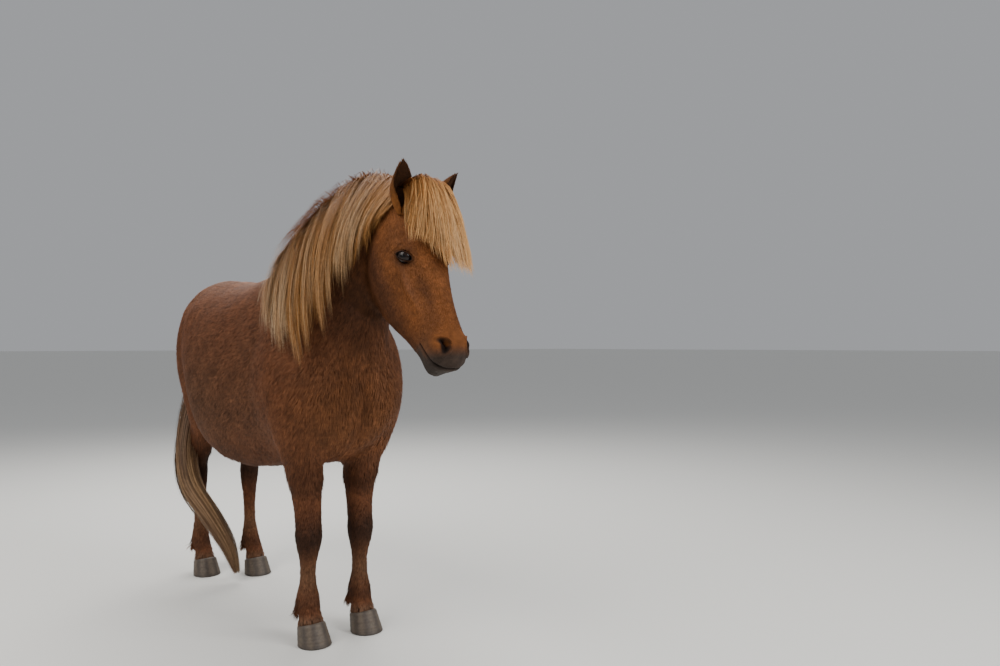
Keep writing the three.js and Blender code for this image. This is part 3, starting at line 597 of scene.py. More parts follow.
def ear_mesh(sign):
    size = EAR_RINGS * EAR_AROUND
    points = np.concatenate([ear_wall(sign, 0.0), ear_wall(sign, EAR["wall"])])
    faces = []
    for r in range(EAR_RINGS - 1):
        for k in range(EAR_AROUND - 1):
            a = r * EAR_AROUND + k
            faces.append([a, a + 1, a + 1 + EAR_AROUND, a + EAR_AROUND])
            faces.append([f + size for f in faces[-1]][::-1])
        for k in (0, EAR_AROUND - 1):
            a = r * EAR_AROUND + k
            rim = [a, a + EAR_AROUND, a + EAR_AROUND + size, a + size]
            faces.append(rim if k == 0 else rim[::-1])
    mesh = bpy.data.meshes.new("ear")
    mesh.from_pydata(from_head(points).tolist(), [], faces)
    return mesh


def earness(points):
    """1 on the free part of an ear."""
    local = to_head(points)
    found = np.zeros(len(points))
    for sign in (-1, 1):
        axis, _, _, root = ear_axes(sign)
        at = (local - root) @ axis
        away = np.linalg.norm(local - root - at[:, None] * axis, axis=1)
        found = np.maximum(found, (away < 46) * (at > 12) * (local[:, 0] * sign > 0))
    return found


ears = [ear_mesh(sign) for sign in (-1, 1)]
whole = bmesh.new()
whole.from_mesh(skin_mesh)
for ear in ears:
    whole.from_mesh(ear)
for lid, flip in zip(lids, (False, True)):
    corners = [whole.verts.new(p) for p in lid]
    quads = ring_quads(LID_RINGS, LID_AROUND)
    for face in quads[:, ::-1] if flip else quads:
        whole.faces.new([corners[i] for i in face])
whole.to_mesh(skin_mesh)
whole.free()
skin_mesh.shade_smooth()
skin_mesh.validate()
skin = bpy.data.objects.new("skin", skin_mesh)
bpy.context.scene.collection.objects.link(skin)
EAR_START = len(points_of(skin_mesh)) - sum(len(l) for l in lids) - sum(len(e.vertices) for e in ears)
LID_START = len(points_of(skin_mesh)) - sum(len(l) for l in lids)
print("skin", len(skin_mesh.polygons), "faces")

# %% [markdown]
# ## Markings
# The horse is chestnut. The coat is golden on the chest and face, dark on the knees, hocks and
# muzzle, and paler above the hooves. Light and shade are painted in too: painted light along the
# back and croup, a painted highlight on the cheekbone ridge, and painted shade that makes the lower
# flank darker and greyer and darkens the place behind the elbow, the belly, the neck under the mane,
# the cheek, the jaw's underside, the side of the nose bone, the eye sockets, the nostrils and the
# mouth's crease. One function gives the colour of any place, and both the skin and the tufts take
# theirs from it, so that they always match.

# %% Colour of any place on the coat
CHESTNUT = linear("#693F27")
# painted light: a lighter gold for places that catch the light
PAINTED_LIGHT_GOLD = linear("#7C5036")
FLANK = linear("#593D2B")
CHEST = linear("#71472A")
# painted shade: a dark brown laid on the coat where shade falls
PAINTED_SHADE = linear("#2E1C12")
FACE_GOLD = linear("#844F28")
MUZZLE = linear("#3E3732")
DARK = linear("#20140E")
KNEE = linear("#25170E")
CANNON = linear("#6C4E38")
PASTERN = linear("#705845")
EAR_INSIDE = linear("#4A2F1E")
EAR_OUTSIDE = linear("#7A4A22")
LID_RIM = linear("#1E1512")


def near(drawn, centre, reach):
    return swell(drawn, [(centre, reach, 1.0)])


def coat_colour(points):
    """Each layer covers the one before, by its amount at each place."""
    d = drawing(points)
    _, y, z = d.T
    u, v, s = to_head(points).T
    leg, h = legness(points), headness(points)
    joint = np.where(y > 100, 480, 370)
    nostril = 1 - smooth_step(0.75, 1.25, nostril_measure(u, v, s))
    around_eye = ((s - EYE["s"]) ** 2 + (v - EYE["v"]) ** 2) / 33**2
    layers = [
        # painted light: the back and croup lighter, as if lit from above
        (PAINTED_LIGHT_GOLD, smooth_step(1120, 1330, z) * 0.8),
        # painted shade: the lower flank darker and greyer
        (FLANK, near(d, [290, 60, 830], [140, 300, 190]) * 0.85),
        (CHEST, near(d, [60, -720, 830], [140, 130, 190]) * 0.9),
        # painted shade behind the elbow
        (FLANK, near(d, [230, -330, 900], [80, 90, 260]) * 0.35),
        # painted shade under the belly
        (PAINTED_SHADE, (1 - smooth_step(560, 700, z)) * smooth_step(500, 540, z) * 0.5),
        # painted shadow of the mane on the neck below it
        (PAINTED_SHADE, near(d, [90, -820, 1220], [120, 110, 110]) * 0.75),
        (KNEE, leg * bell(z, joint, 85) * 0.85),
        (CANNON, leg * bell(z, 235, 60) * 0.7),
        (KNEE, leg * bell(z, 150, 26) * 0.5),
        (PASTERN, leg * (1 - smooth_step(70, 125, z)) * 0.85),
        (FACE_GOLD, h * 0.85),
        (CHESTNUT, h * bell(v, -200, 70) * 0.7),
        # painted shade on the cheek and the lower side of the head
        (PAINTED_SHADE, h * smooth_step(-110, -190, v) * 0.5),
        # painted shade under the jaw
        (PAINTED_SHADE, h * smooth_step(-250, -310, v) * 0.5),
        # painted shade in the groove beside the nose bone
        (PAINTED_SHADE, h * bell(s, 330, 90) * bell(v, -38, 14) * 0.45),
        # painted highlight along the cheekbone ridge under the eye
        (PAINTED_LIGHT_GOLD, h * bell(s, 300, 60) * bell(v, -70, 10) * 0.6),
        (FLANK, h * smooth_step(400, 500, s) * smooth_step(-40, -90, v) * 0.7),
        (MUZZLE, h * smooth_step(500, 548, s + 0.25 * (-v - 60)) * 0.92),
        (MUZZLE, h * smooth_step(455, 500, s) * smooth_step(-95, -130, v) * 0.9),
        # painted shade inside the nostril hollows
        (DARK, h * (np.abs(u) > 30) * (s > 470) * nostril),
        # painted shade round the eye sockets
        (KNEE, h * (np.abs(u) > 60) * np.exp(-around_eye * 1.1) * 0.85),
        # painted shade in the crease between the lips
        (DARK * 0.6, h * bell(v, mouth_line(s), 3.4) * (s > MOUTH["corner"]) * 0.9),
    ]
    colour = np.tile(CHESTNUT, (len(points), 1))
    for tone, amount in layers:
        colour = mix(colour, tone, amount)
    return colour


print("colour of the flank", coat_colour(place([[300, 100, 800]])).round(3))


# %% Put colours on a mesh
def paint(mesh, colours):
    layer = mesh.color_attributes.new("tone", "FLOAT_COLOR", "POINT")
    rgba = np.ones((len(colours), 4), np.float32)
    rgba[:, :3] = np.clip(colours, 0, 1)
    layer.data.foreach_set("color", rgba.ravel())


BROAD_PATCHES = (0.16, 0.25)
CLUMPS = (0.03, 0.3)
# painted shade: the skin under the tufts is painted darker than the coat
SHADE_UNDER_COAT = 0.82


def patches(points, spread, amount):
    """Slow, smooth unevenness of a few centimetres, from summed sine waves."""
    drift = np.zeros(len(points))
    for k in range(5):
        wave = np.array([math.sin(3.1 * k + 1), math.cos(1.7 * k), math.sin(2.3 * k + 2)])
        drift += np.sin(points @ wave * (2 * math.pi / spread) * (1 + 0.37 * k) + 1.9 * k)
    return 1 + amount * drift / 5


points = points_of(skin_mesh)
skin_colour = coat_colour(points) * patches(points, *BROAD_PATCHES)[:, None] * SHADE_UNDER_COAT
ear_points = slice(EAR_START, LID_START)
inner = np.tile(np.repeat([0.0, 1.0], EAR_RINGS * EAR_AROUND), 2)
rim = np.abs(np.tile(np.linspace(-1, 1, EAR_AROUND), EAR_RINGS * 4)) ** 6
ear_s = to_head(points[ear_points])[:, 2]
edge = np.maximum(smooth_step(-55, -85, ear_s), rim * smooth_step(30, -30, ear_s))
skin_colour[ear_points] = mix(mix(EAR_OUTSIDE, EAR_INSIDE, inner * 0.9), DARK, edge * 0.45)
eye_places = to_head(points[:EAR_START])
# painted shade: the skin pushed in under the lids is painted dark, so the gaps round the eyeball look shaded
painted_shade_behind_lids = np.minimum(eye_reach(eye_places, -1), eye_reach(eye_places, 1)) < 0.9
skin_colour[:EAR_START] = mix(skin_colour[:EAR_START], DARK * 0.5, painted_shade_behind_lids)
lid_row = np.tile(np.repeat(np.arange(LID_RINGS), LID_AROUND), 2) / (LID_RINGS - 1)
skin_colour[LID_START:] = mix(LID_RIM, skin_colour[LID_START:], smooth_step(0.15, 0.5, lid_row))
paint(skin_mesh, skin_colour)
print("painted", len(points), "points")

# %% [markdown]
# ## Coat material
# Horse hair is a thin tube of keratin: it takes its colour from inside, and shines a little along
# its length. Under the tufts the skin shows as very short hair, so its bump is made of fine noise.

# %% Materials of short and long hair
HAIR_IOR = 1.55


def streaked(name, shader, streaks, spread, bump, grain=None):
    """The painted tone, made uneven by noise of one scale, with a bump from the same or a finer noise."""
    material, surface = new_material(name, **shader)
    tone = add_node(material, "ShaderNodeVertexColor", {"layer_name": "tone"})
    where = add_node(material, "ShaderNodeTexCoord")
    coarse = add_node(material, "ShaderNodeTexNoise", streaks, Vector=where.outputs["Object"])
    fine = coarse
    if grain:
        fine = add_node(material, "ShaderNodeTexNoise", grain, Vector=where.outputs["Object"])
    amount = add_node(
        material, "ShaderNodeMapRange",
        {"From Min": 0.3, "From Max": 0.7, "To Min": spread[0], "To Max": spread[1]},
        Value=coarse.outputs["Fac"],
    )
    shade = add_node(
        material, "ShaderNodeVectorMath", {"operation": "SCALE"},
        _0=tone.outputs["Color"], Scale=amount.outputs["Result"],
    )
    raised = add_node(
        material, "ShaderNodeBump", {"Strength": bump[0], "Distance": bump[1]}, Height=fine.outputs["Fac"],
    )
    material.node_tree.links.new(shade.outputs["Vector"], surface.inputs["Base Color"])
    material.node_tree.links.new(raised.outputs["Normal"], surface.inputs["Normal"])
    return material


def hair_material(name, roughness, shine, streak_mm, strength):
    shader = {"Roughness": roughness, "IOR": HAIR_IOR, "Specular_IOR_Level": shine}
    streaks = {"Scale": 1000 / streak_mm / 6, "Detail": 5.0, "Roughness": 0.65}
    grain = {"Scale": 1000 / streak_mm, "Detail": 3.0}
    return streaked(name, shader, streaks, (0.72, 1.25), (strength, 0.002), grain)


# Very short hair, seen as a soft matt nap with fine bumps.
skin_material = hair_material("short_hair_skin", 0.75, 0.12, 2.4, 0.55)
# Winter hair: matt, with a weak shine.
coat_material = hair_material("winter_coat", 0.68, 0.16, 3.0, 0.2)
# Long hair is smoother, so its strands catch more light.
mane_material = hair_material("long_hair", 0.55, 0.2, 1.6, 0.25)
skin_mesh.materials.clear()
skin_mesh.materials.append(skin_material)
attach(skin, "root")
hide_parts(*FLESH, "ear_right", "ear_left")

# %% [markdown]
# ## A flat map of the skin
# The skin gets a flat map named OFBake, unfolded by its own shape, and each tuft takes a tiny
# patch at its root's place on that map.

# %% Unfold the skin
bpy.context.view_layer.objects.active = skin
skin.select_set(True)
skin_mesh.uv_layers.new(name="OFBake")
bpy.ops.object.mode_set(mode="EDIT")
bpy.ops.mesh.select_all(action="SELECT")
bpy.ops.uv.smart_project(angle_limit=math.radians(66), island_margin=0.002)
bpy.ops.object.mode_set(mode="OBJECT")
skin.select_set(False)
print("map", skin_mesh.uv_layers.active.name)

# %% Triangles, roots and their place on the map
skin_points = points_of(skin_mesh)
skin_normals = normals_of(skin_mesh)
skin_triangles = triangles_of(skin_mesh)
loops = read(skin_mesh.loop_triangles, "loops", 3, np.int32)
corner_map = read(skin_mesh.uv_layers["OFBake"].data, "uv", 2, np.float32)[loops]
corners = skin_points[skin_triangles]
edge_a, edge_b = corners[:, 1] - corners[:, 0], corners[:, 2] - corners[:, 0]
areas = np.linalg.norm(np.cross(edge_a, edge_b), axis=1) / 2
middles = corners.mean(1)
skin_tree = BVHTree.FromPolygons(skin_points.tolist(), skin_triangles.tolist())
print("skin area", round(areas.sum(), 2), "square metres")


def scatter(per_square_metre):
    """Random roots, with the given number for a square metre at each triangle."""
    count = draws.poisson(areas * per_square_metre)
    which = np.repeat(np.arange(len(areas)), count)
    a, b = draws.random(len(which)), draws.random(len(which))
    a, b = np.where(a + b > 1, 1 - a, a), np.where(a + b > 1, 1 - b, b)
    weights = np.stack([1 - a - b, a, b], 1)
    roots = (corners[which] * weights[..., None]).sum(1)
    up = unit((skin_normals[skin_triangles[which]] * weights[..., None]).sum(1))
    on_map = (corner_map[which] * weights[..., None]).sum(1)
    return roots, up, on_map, which


# %% [markdown]
# ## Tufts
# Winter hair lies from nose to tail and downwards, and each tuft overlaps the next. A tuft here is
# a thin blade with a bend in it. Thousands are made at once as arrays: a root edge, a middle edge
# and a tip. Length, lie and lift depend on the place: short on the face and feet, long on the chest,
# belly and jaw.

# %% Length and lie of the coat
PATCH = 0.003


def coat_length(points):
    """Millimetres of a tuft at a place."""
    d = drawing(points)
    x, y, z = d.T
    length = np.full(len(points), 27.0)
    length += 12 * near(d, [40, -720, 760], [170, 140, 170])
    length += 14 * (1 - smooth_step(560, 720, z))
    leg = 1 - smooth_step(520, 700, z)
    length = between(length, 16.0, leg * smooth_step(-1, 1, 560 - z))
    length = np.where(z < 620, np.minimum(length, 15 + 0.2 * np.maximum(z - 480, 0)), length)
    fetlock = bell(z, 140, 40) * (z < 260)
    foot = np.where(y < 0, -513, np.where(x < 0, 608, 472))
    length += (6 + 26 * smooth_step(0, 34, y - foot)) * fetlock
    length += 20 * (1 - smooth_step(78, 104, z))
    _, v, s = to_head(points).T
    face = 11 - 6 * smooth_step(380, 500, s)
    face += 14 * smooth_step(-230, -290, v) * (1 - smooth_step(330, 450, s))
    face -= 5 * np.exp(-(((s - EYE["s"]) ** 2 + (v - EYE["v"]) ** 2) / 40**2))
    return between(between(length, face, headness(points)), 9.0, earness(points))


def coat_lie(points, up):
    """The way the hair lies, as a direction along the skin."""
    d = drawing(points)
    _, y, z = d.T
    flow = np.tile([0, 1.0, -0.75], (len(points), 1))
    flow = mix(flow, np.array([0, 0.1, -1.0]), near(d, [0, -720, 850], [220, 130, 300]))
    rump = smooth_step(480, 650, y) * (z > 500)
    flow = mix(flow, np.array([0, 0.2, -1.0]), rump)
    flow = mix(flow, np.array([0, 0.15, -1.0]), 1 - smooth_step(560, 760, z))
    u, v, _ = to_head(points).T
    to_jaw = 0.25 + 0.9 * smooth_step(-60, -200, v)
    flow = mix(flow, HEAD_DOWN - HEAD_OUT * to_jaw[:, None], headness(points))
    for sign in (-1, 1):
        flow = mix(flow, ear_axes(sign)[0] @ HEAD_AXES, earness(points) * (u * sign > 0))
    waves = np.array([[1, 0.6, 0.3], [0.2, 1, -0.7], [-0.5, 0.4, 1]])
    flow += 0.11 * np.sin(points @ waves.T * 38 + np.arange(3))
    return unit(flow - up * (flow * up).sum(1)[:, None])


# %% Build blades
def mesh_piece(name, points, quads, triangles, colours, uv, material, replaced=()):
    mesh = bpy.data.meshes.new(name)
    mesh.vertices.add(len(points))
    mesh.vertices.foreach_set("co", points.astype(np.float32).ravel())
    corners = np.concatenate([quads.ravel(), triangles.ravel()]).astype(np.int32)
    starts = np.concatenate([
        np.arange(len(quads)) * 4, len(quads) * 4 + np.arange(len(triangles)) * 3,
    ]).astype(np.int32)
    mesh.loops.add(len(corners))
    mesh.loops.foreach_set("vertex_index", corners)
    mesh.polygons.add(len(starts))
    mesh.polygons.foreach_set("loop_start", starts)
    mesh.polygons.foreach_set("use_smooth", np.ones(len(starts), bool))
    mesh.update(calc_edges=True)
    paint(mesh, colours)
    layer = mesh.uv_layers.new(name="OFBake")
    layer.data.foreach_set("uv", uv[corners].astype(np.float32).ravel())
    mesh.materials.append(material)
    piece = bpy.data.objects.new(name, mesh)
    bpy.context.scene.collection.objects.link(piece)
    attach(piece, "root")
    if replaced:
        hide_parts(*replaced)
    print(name, len(quads) * 2 + len(triangles), "triangles")
    return piece


def blades(name, roots, up, on_map, lie, length, width, rise, colours):
    """Bent, pointed blades: two edges and a tip, in metres."""
    n = len(roots)
    across = np.cross(lie, up)
    sway = draws.normal(0, 0.11, n)[:, None]
    lie = unit(lie + across * sway)
    across = np.cross(lie, up)
    length, width, rise = length[:, None], width[:, None], rise[:, None]
    base = roots - up * 0.0012
    middle = roots + lie * length * 0.45 + up * rise * 0.75
    tip = roots + lie * length + up * rise + across * length * draws.normal(0, 0.08, n)[:, None]
    half = across * width / 2
    points = [base - half * 0.8, base + half * 0.8, middle + half, middle - half, tip]
    points = np.stack(points, 1).reshape(-1, 3)
    start = np.arange(n)[:, None] * 5
    # painted shade: each root edge is darker, as the overlapping tufts shade it; the tip is lighter
    shades = np.stack([colours * 0.62, colours * 0.62, colours, colours, colours * 1.22], 1).reshape(-1, 3)
    spots = np.array([[-0.5, -0.5], [0.5, -0.5], [0.5, 0.1], [-0.5, 0.1], [0, 0.5]]) * PATCH
    uv = (on_map[:, None, :] + spots[None]).reshape(-1, 2)
    quads, tips = start + [0, 1, 2, 3], start + [3, 2, 4]
    return mesh_piece(name, points, quads, tips, shades, uv, coat_material)


# %% Cover the body
FACE_TUFTS, BODY_TUFTS, LEG_TUFTS, EAR_TUFTS, LID_TUFTS = 150000.0, 62000.0, 85000.0, 130000.0, 200000.0
BODY_TUFT_WIDTH, FACE_TUFT_WIDTH = 0.0036, 0.002
LARGEST_PIECE = 62000

on_head = headness(middles) > 0.5
local_middles = to_head(middles)
height = drawing(middles)[:, 2]
past_skin = (skin_triangles >= EAR_START).any(1)
lid_part = (skin_triangles >= LID_START).any(1)
ear_part = past_skin & (earness(middles) > 0)
lid_outside = (skin_triangles - LID_START).min(1) % (LID_AROUND * LID_RINGS) > 5 * LID_AROUND
eye_hole = on_head & (np.minimum(eye_reach(local_middles, -1), eye_reach(local_middles, 1)) < 1.0)
bare = (on_head & (local_middles[:, 2] > 470)) | eye_hole | (height < 60)
per_metre = np.where(height < 560, LEG_TUFTS, np.where(on_head, FACE_TUFTS, BODY_TUFTS))
per_metre = np.where(bare, 0.0, per_metre)
per_metre = np.where(past_skin, ear_part * EAR_TUFTS, per_metre)
per_metre = np.where(lid_part, lid_outside * LID_TUFTS, per_metre)
roots, up, on_map, which = scatter(per_metre)
order = np.argsort(roots[:, 1] + 0.3 * roots[:, 2])
roots, up, on_map, which = roots[order], up[order], on_map[order], which[order]
length = coat_length(roots) / 1000 * draws.uniform(0.75, 1.25, len(roots))
clump = patches(roots, *CLUMPS)
on_face = np.maximum(headness(roots), earness(roots))
width = between(BODY_TUFT_WIDTH, FACE_TUFT_WIDTH, on_face) * draws.uniform(0.7, 1.3, len(roots))
rise = length * between(0.17, 0.14, on_face) * draws.uniform(0.6, 1.3, len(roots)) * clump
rise += 0.005 * (1 - smooth_step(78, 104, drawing(roots)[:, 2]))
tint = draws.normal(1.0, 0.13, len(roots)) * patches(roots, *BROAD_PATCHES) * clump**0.5
colours = coat_colour(roots)
colours = np.where(ear_part[which][:, None], skin_colour[skin_triangles[which, 0]] * 1.2, colours)
colours = colours * np.clip(tint, 0.5, 1.7)[:, None]
lie = coat_lie(roots, up)
pieces = math.ceil(len(roots) / LARGEST_PIECE)
for k, part in enumerate(np.array_split(np.arange(len(roots)), pieces)):
    blades(f"coat_{k + 1}", roots[part], up[part], on_map[part], lie[part], length[part], width[part],
           rise[part], colours[part])
print(len(roots), "tufts")

# %% [markdown]
# ## Long hair
# Mane, forelock and tail are strands: thin ribbons that face outwards and end in a point. Real long
# hair gathers in locks, so strands share the path of their lock and close in on it towards the tip.


# %% Build ribbons
def ribbons(name, path, out, width, colours, replaced=()):
    """path, out and colours are (strands, steps, 3) and width is (strands, steps)."""
    n, steps = path.shape[:2]
    tangent = unit(np.gradient(path, axis=1))
    across = unit(np.cross(tangent, out)) * width[..., None] / 2
    left, right = path - across, path + across
    body = np.stack([left[:, :-1], right[:, :-1]], 2).reshape(n, -1, 3)
    points = np.concatenate([body, path[:, -1:]], 1).reshape(-1, 3)
    each = 2 * (steps - 1) + 1
    start = np.arange(n)[:, None, None] * each
    row = np.arange(steps - 2)[None, :, None] * 2
    quads = (start + row + np.array([0, 1, 3, 2])).reshape(-1, 4)
    tips = (start[:, 0] + np.array([each - 3, each - 2, each - 1])).reshape(-1, 3)
    shades = np.concatenate([np.repeat(colours[:, :-1], 2, axis=1), colours[:, -1:]], 1).reshape(-1, 3)
    spots = np.array([map_place(r) for r in path[:, 0]])
    rows = np.repeat(np.linspace(-0.5, 0.5, steps)[:-1], 2)
    sides = np.tile([-0.5, 0.5], steps - 1)
    offset = np.concatenate([np.stack([sides, rows], 1), [[0, 0.5]]]) * PATCH
    uv = (spots[:, None, :] + offset[None]).reshape(-1, 2)
    return mesh_piece(name, points, quads, tips, shades, uv, mane_material, replaced)


def map_place(root):
    face = skin_tree.find_nearest(Vector(root))[2]
    return corner_map[face].mean(0)


def locks(count, low, high):
    return low + (high - low) * (np.arange(count) + draws.uniform(0.1, 0.9, count)) / count


def strands(lock_count, per_lock, steps):
    """The lock of each strand, and how far along it each step is."""
    lock = np.repeat(np.arange(lock_count), per_lock)
    return lock, len(lock), np.linspace(0, 1, steps)[None, :]


def taper_of(f, n):
    return (1 - f**2.2 * 0.8) * draws.uniform(0.7, 1.3, n)[:, None]


def tone_of(lock, low, high):
    return draws.uniform(low, high, lock[-1] + 1)[lock]


def uneven(colours, amount):
    return colours * np.clip(draws.normal(1, amount, len(colours)), 0.6, 1.5)[:, None, None]


# %% [markdown]
# ## Mane
# The roots stand along the crest, from the withers to the poll. Short hairs stand up there and fall
# to both sides, and the long ones hang down the horse's right side, golden with paler outer locks.

# %% Path of the mane's strands
# By neck station: the angle at which the hair leaves the neck, how far it hangs, and its drift.
MANE_FALL = np.array([
    [40, 0, 0.2], [24, 60, 0.15], [6, 160, 0.12], [-8, 225, 0.05],
    [-12, 210, -0.05], [-12, 140, -0.15], [-10, 70, -0.05], [0, 0, 0.05],
], float)
STEPS = 9


def mane_path(t0, part, lift, left, f):
    reach, drop, drift = np.moveaxis(along_keys(MANE_FALL, t0), -1, 0)
    start = np.where(left, 84, 97)
    end = np.where(left, 180 - reach, reach)
    angle = start + (end - start) * part * f**0.9
    t = np.maximum(0.6, t0 + drift * part * f**1.2)
    lift = lift * (1 - 0.55 * smooth_step(4.4, 6.4, t0))
    rise = -22 + (lift + 22) * np.minimum(1, f * 4) - 0.45 * lift * f * f
    path = neck_point(t, angle, rise + 16 * np.maximum(0, 2.1 - t))
    hang = np.where(left, 0, drop) * part * f**1.6
    path[..., 0] -= 0.22 * hang
    path[..., 2] -= hang
    out = unit(neck_point(t, angle, rise * 0 + 10) - neck_point(t, angle, rise * 0))
    return path, out


ORANGE = linear("#935C2D")
GOLDEN = linear("#B07C46")
PALE = linear("#CDB18C")
STRAW = linear("#D0BA98")
SHADOW = linear("#5E3819")


def mane_layer(name, lock_count, per_lock, part, lift, left, spread, width, pale, replaced=()):
    lock, n, f = strands(lock_count, per_lock, STEPS)
    lock_t = locks(lock_count, 1.05, 6.95)[lock]
    lock_part = tone_of(lock, *part)[:, None]
    lock_lift = tone_of(lock, *lift)[:, None]
    away = draws.normal(0, spread, n)[:, None]
    closing = 1 - 0.55 * np.minimum(1, f * 1.15)
    t0 = np.clip(lock_t[:, None] + away * closing, 0.95, 7.0)
    strand_part = lock_part * draws.uniform(0.8, 1.06, n)[:, None]
    strand_lift = lock_lift + draws.normal(0, 7, n)[:, None] * closing
    path, out = mane_path(t0, strand_part, strand_lift, left, f * np.ones((n, 1)))
    wave = tone_of(lock, 0, 6.28)[:, None]
    path[..., 1] += 15 * np.sin(5 * f + wave) * f + draws.normal(0, 9, n)[:, None] * f**1.3
    path[..., 0] -= 9 * np.maximum(0, np.sin(6 * f + wave * 2)) * f
    path[..., 0] -= np.abs(draws.normal(0, 5, n))[:, None] * f
    taper = taper_of(f, n)
    tone = tone_of(lock, 0, 1)
    pale_place = 0.7 * (1 - smooth_step(2.3, 3.2, lock_t)) + 0.7 * bell(lock_t, 5.3, 0.35)
    fair = (tone + pale_place) * pale[1] + pale[0] + draws.normal(0, 0.1, n)
    fair = np.clip(fair, 0, 1)[:, None] * smooth_step(0.15, 0.7, f)
    colours = mix(SHADOW, ORANGE, smooth_step(0.0, 0.16, f))
    colours = mix(colours, GOLDEN, smooth_step(0.1, 0.4, f))
    colours = uneven(mix(colours, mix(PALE, STRAW, 0.35), fair), 0.13)
    return ribbons(name, place(path), out, width / 1000 * taper, colours, replaced)


# %% Comb the mane
mane_layer("mane_under", 110, 54, (0.66, 0.96), (12, 28), False, 0.16, 3.6, (-0.3, 0.4), ["mane"])
mane_layer("mane_outer", 230, 32, (0.6, 1.08), (24, 52), False, 0.055, 2.6, (-0.25, 0.75))
mane_layer("mane_top", 150, 22, (0.2, 0.5), (30, 62), False, 0.09, 2.3, (-0.4, 0.25))
mane_layer("mane_left", 90, 30, (0.22, 0.42), (26, 60), True, 0.09, 2.6, (-0.4, 0.3))
mane_layer("mane_stray", 60, 12, (0.3, 0.9), (50, 92), False, 0.3, 1.8, (-0.3, 0.4))

# %% [markdown]
# ## Forelock
# The forelock springs from the poll between the ears and is swept over the brow to the horse's left,
# nearly over the left eye. Its ends are ragged.


# %% Comb the forelock
FORELOCK_GOLD = linear("#D29B5A")


def forelock_layer(name, lock_count, per_lock, length, lift, width, replaced=()):
    lock, n, f = strands(lock_count, per_lock, STEPS)
    place_f = ((np.arange(lock_count) + draws.uniform(0.2, 0.8, lock_count)) / lock_count)[lock]
    root_u = -60 + 106 * place_f + draws.normal(0, 6, n)
    tip_u = -84 + 262 * place_f**0.85 + draws.normal(0, 12, n)
    far = length * tone_of(lock, 0.8, 1.1) * draws.uniform(0.74, 1.06, n)
    from_left = 0.69 + 0.31 * smooth_step(0.0, 0.4, place_f)
    reach = (far * (268 * from_left - 110 * np.maximum(0, place_f - 0.6)))[:, None]
    along = -22 + (reach + 22) * f
    across = root_u[:, None] + (tip_u - root_u)[:, None] * f**0.85
    height = (lift * (1 - 0.35 * place_f) * tone_of(lock, 0.75, 1.1) + draws.normal(0, 5, n))[:, None]
    rise = (height + 12) * np.sin(np.pi * np.minimum(0.5, f * 3)) - (height - 16) * f**3 * 0.8
    rise = rise - 2 - 22 * (across / 100) ** 2
    wave = tone_of(lock, 0, 6.28)[:, None]
    path = from_head(np.stack([across + 7 * np.sin(5 * f + wave) * f, rise, along], -1))
    taper = taper_of(f, n)
    fair = np.clip(tone_of(lock, 0, 0.75) + draws.normal(0, 0.12, n), 0, 1)[:, None]
    colours = mix(SHADOW, ORANGE, smooth_step(0.0, 0.15, f))
    colours = mix(colours, FORELOCK_GOLD, smooth_step(0.1, 0.45, f))
    colours = uneven(mix(colours, PALE, fair * smooth_step(0.2, 0.8, f) * 0.6), 0.13)
    return ribbons(name, path, np.broadcast_to(HEAD_OUT, path.shape), width / 1000 * taper, colours, replaced)


forelock_layer("forelock_under", 50, 46, 1.0, 40, 3.4, ["forelock"])
forelock_layer("forelock_outer", 80, 30, 0.98, 78, 2.6)
forelock_layer("forelock_top", 40, 22, 0.66, 92, 2.2)
forelock_layer("forelock_stray", 20, 8, 1.05, 110, 1.6)

# %% [markdown]
# ## Tail
# The tail hangs from the dock. Wind has blown it round the outside of the right hind leg, where a
# light-brown bunch crosses in front of the pastern. Its upper hair is dark.

# %% Comb the tail
# x, y, z, then half the width, the reach to the front and to the back.
TAIL_KEYS = np.array([
    [0, 600, 1258, 26, 24, 24],
    [0, 690, 1215, 38, 32, 32],
    [-16, 738, 1100, 52, 36, 40],
    [-42, 734, 960, 60, 40, 44],
    [-76, 704, 820, 58, 42, 44],
    [-124, 664, 680, 52, 50, 50],
    [-166, 596, 530, 38, 62, 60],
    [-164, 522, 400, 40, 58, 58],
    [-112, 430, 280, 42, 44, 46],
    [-64, 362, 160, 34, 34, 34],
    [-34, 322, 30, 12, 12, 12],
], float)
TAIL_BROWN = linear("#664C38")
TAIL_DARK = linear("#3E2C24")
TAIL_LIGHT = linear("#A58460")


TAIL_STEPS = 13


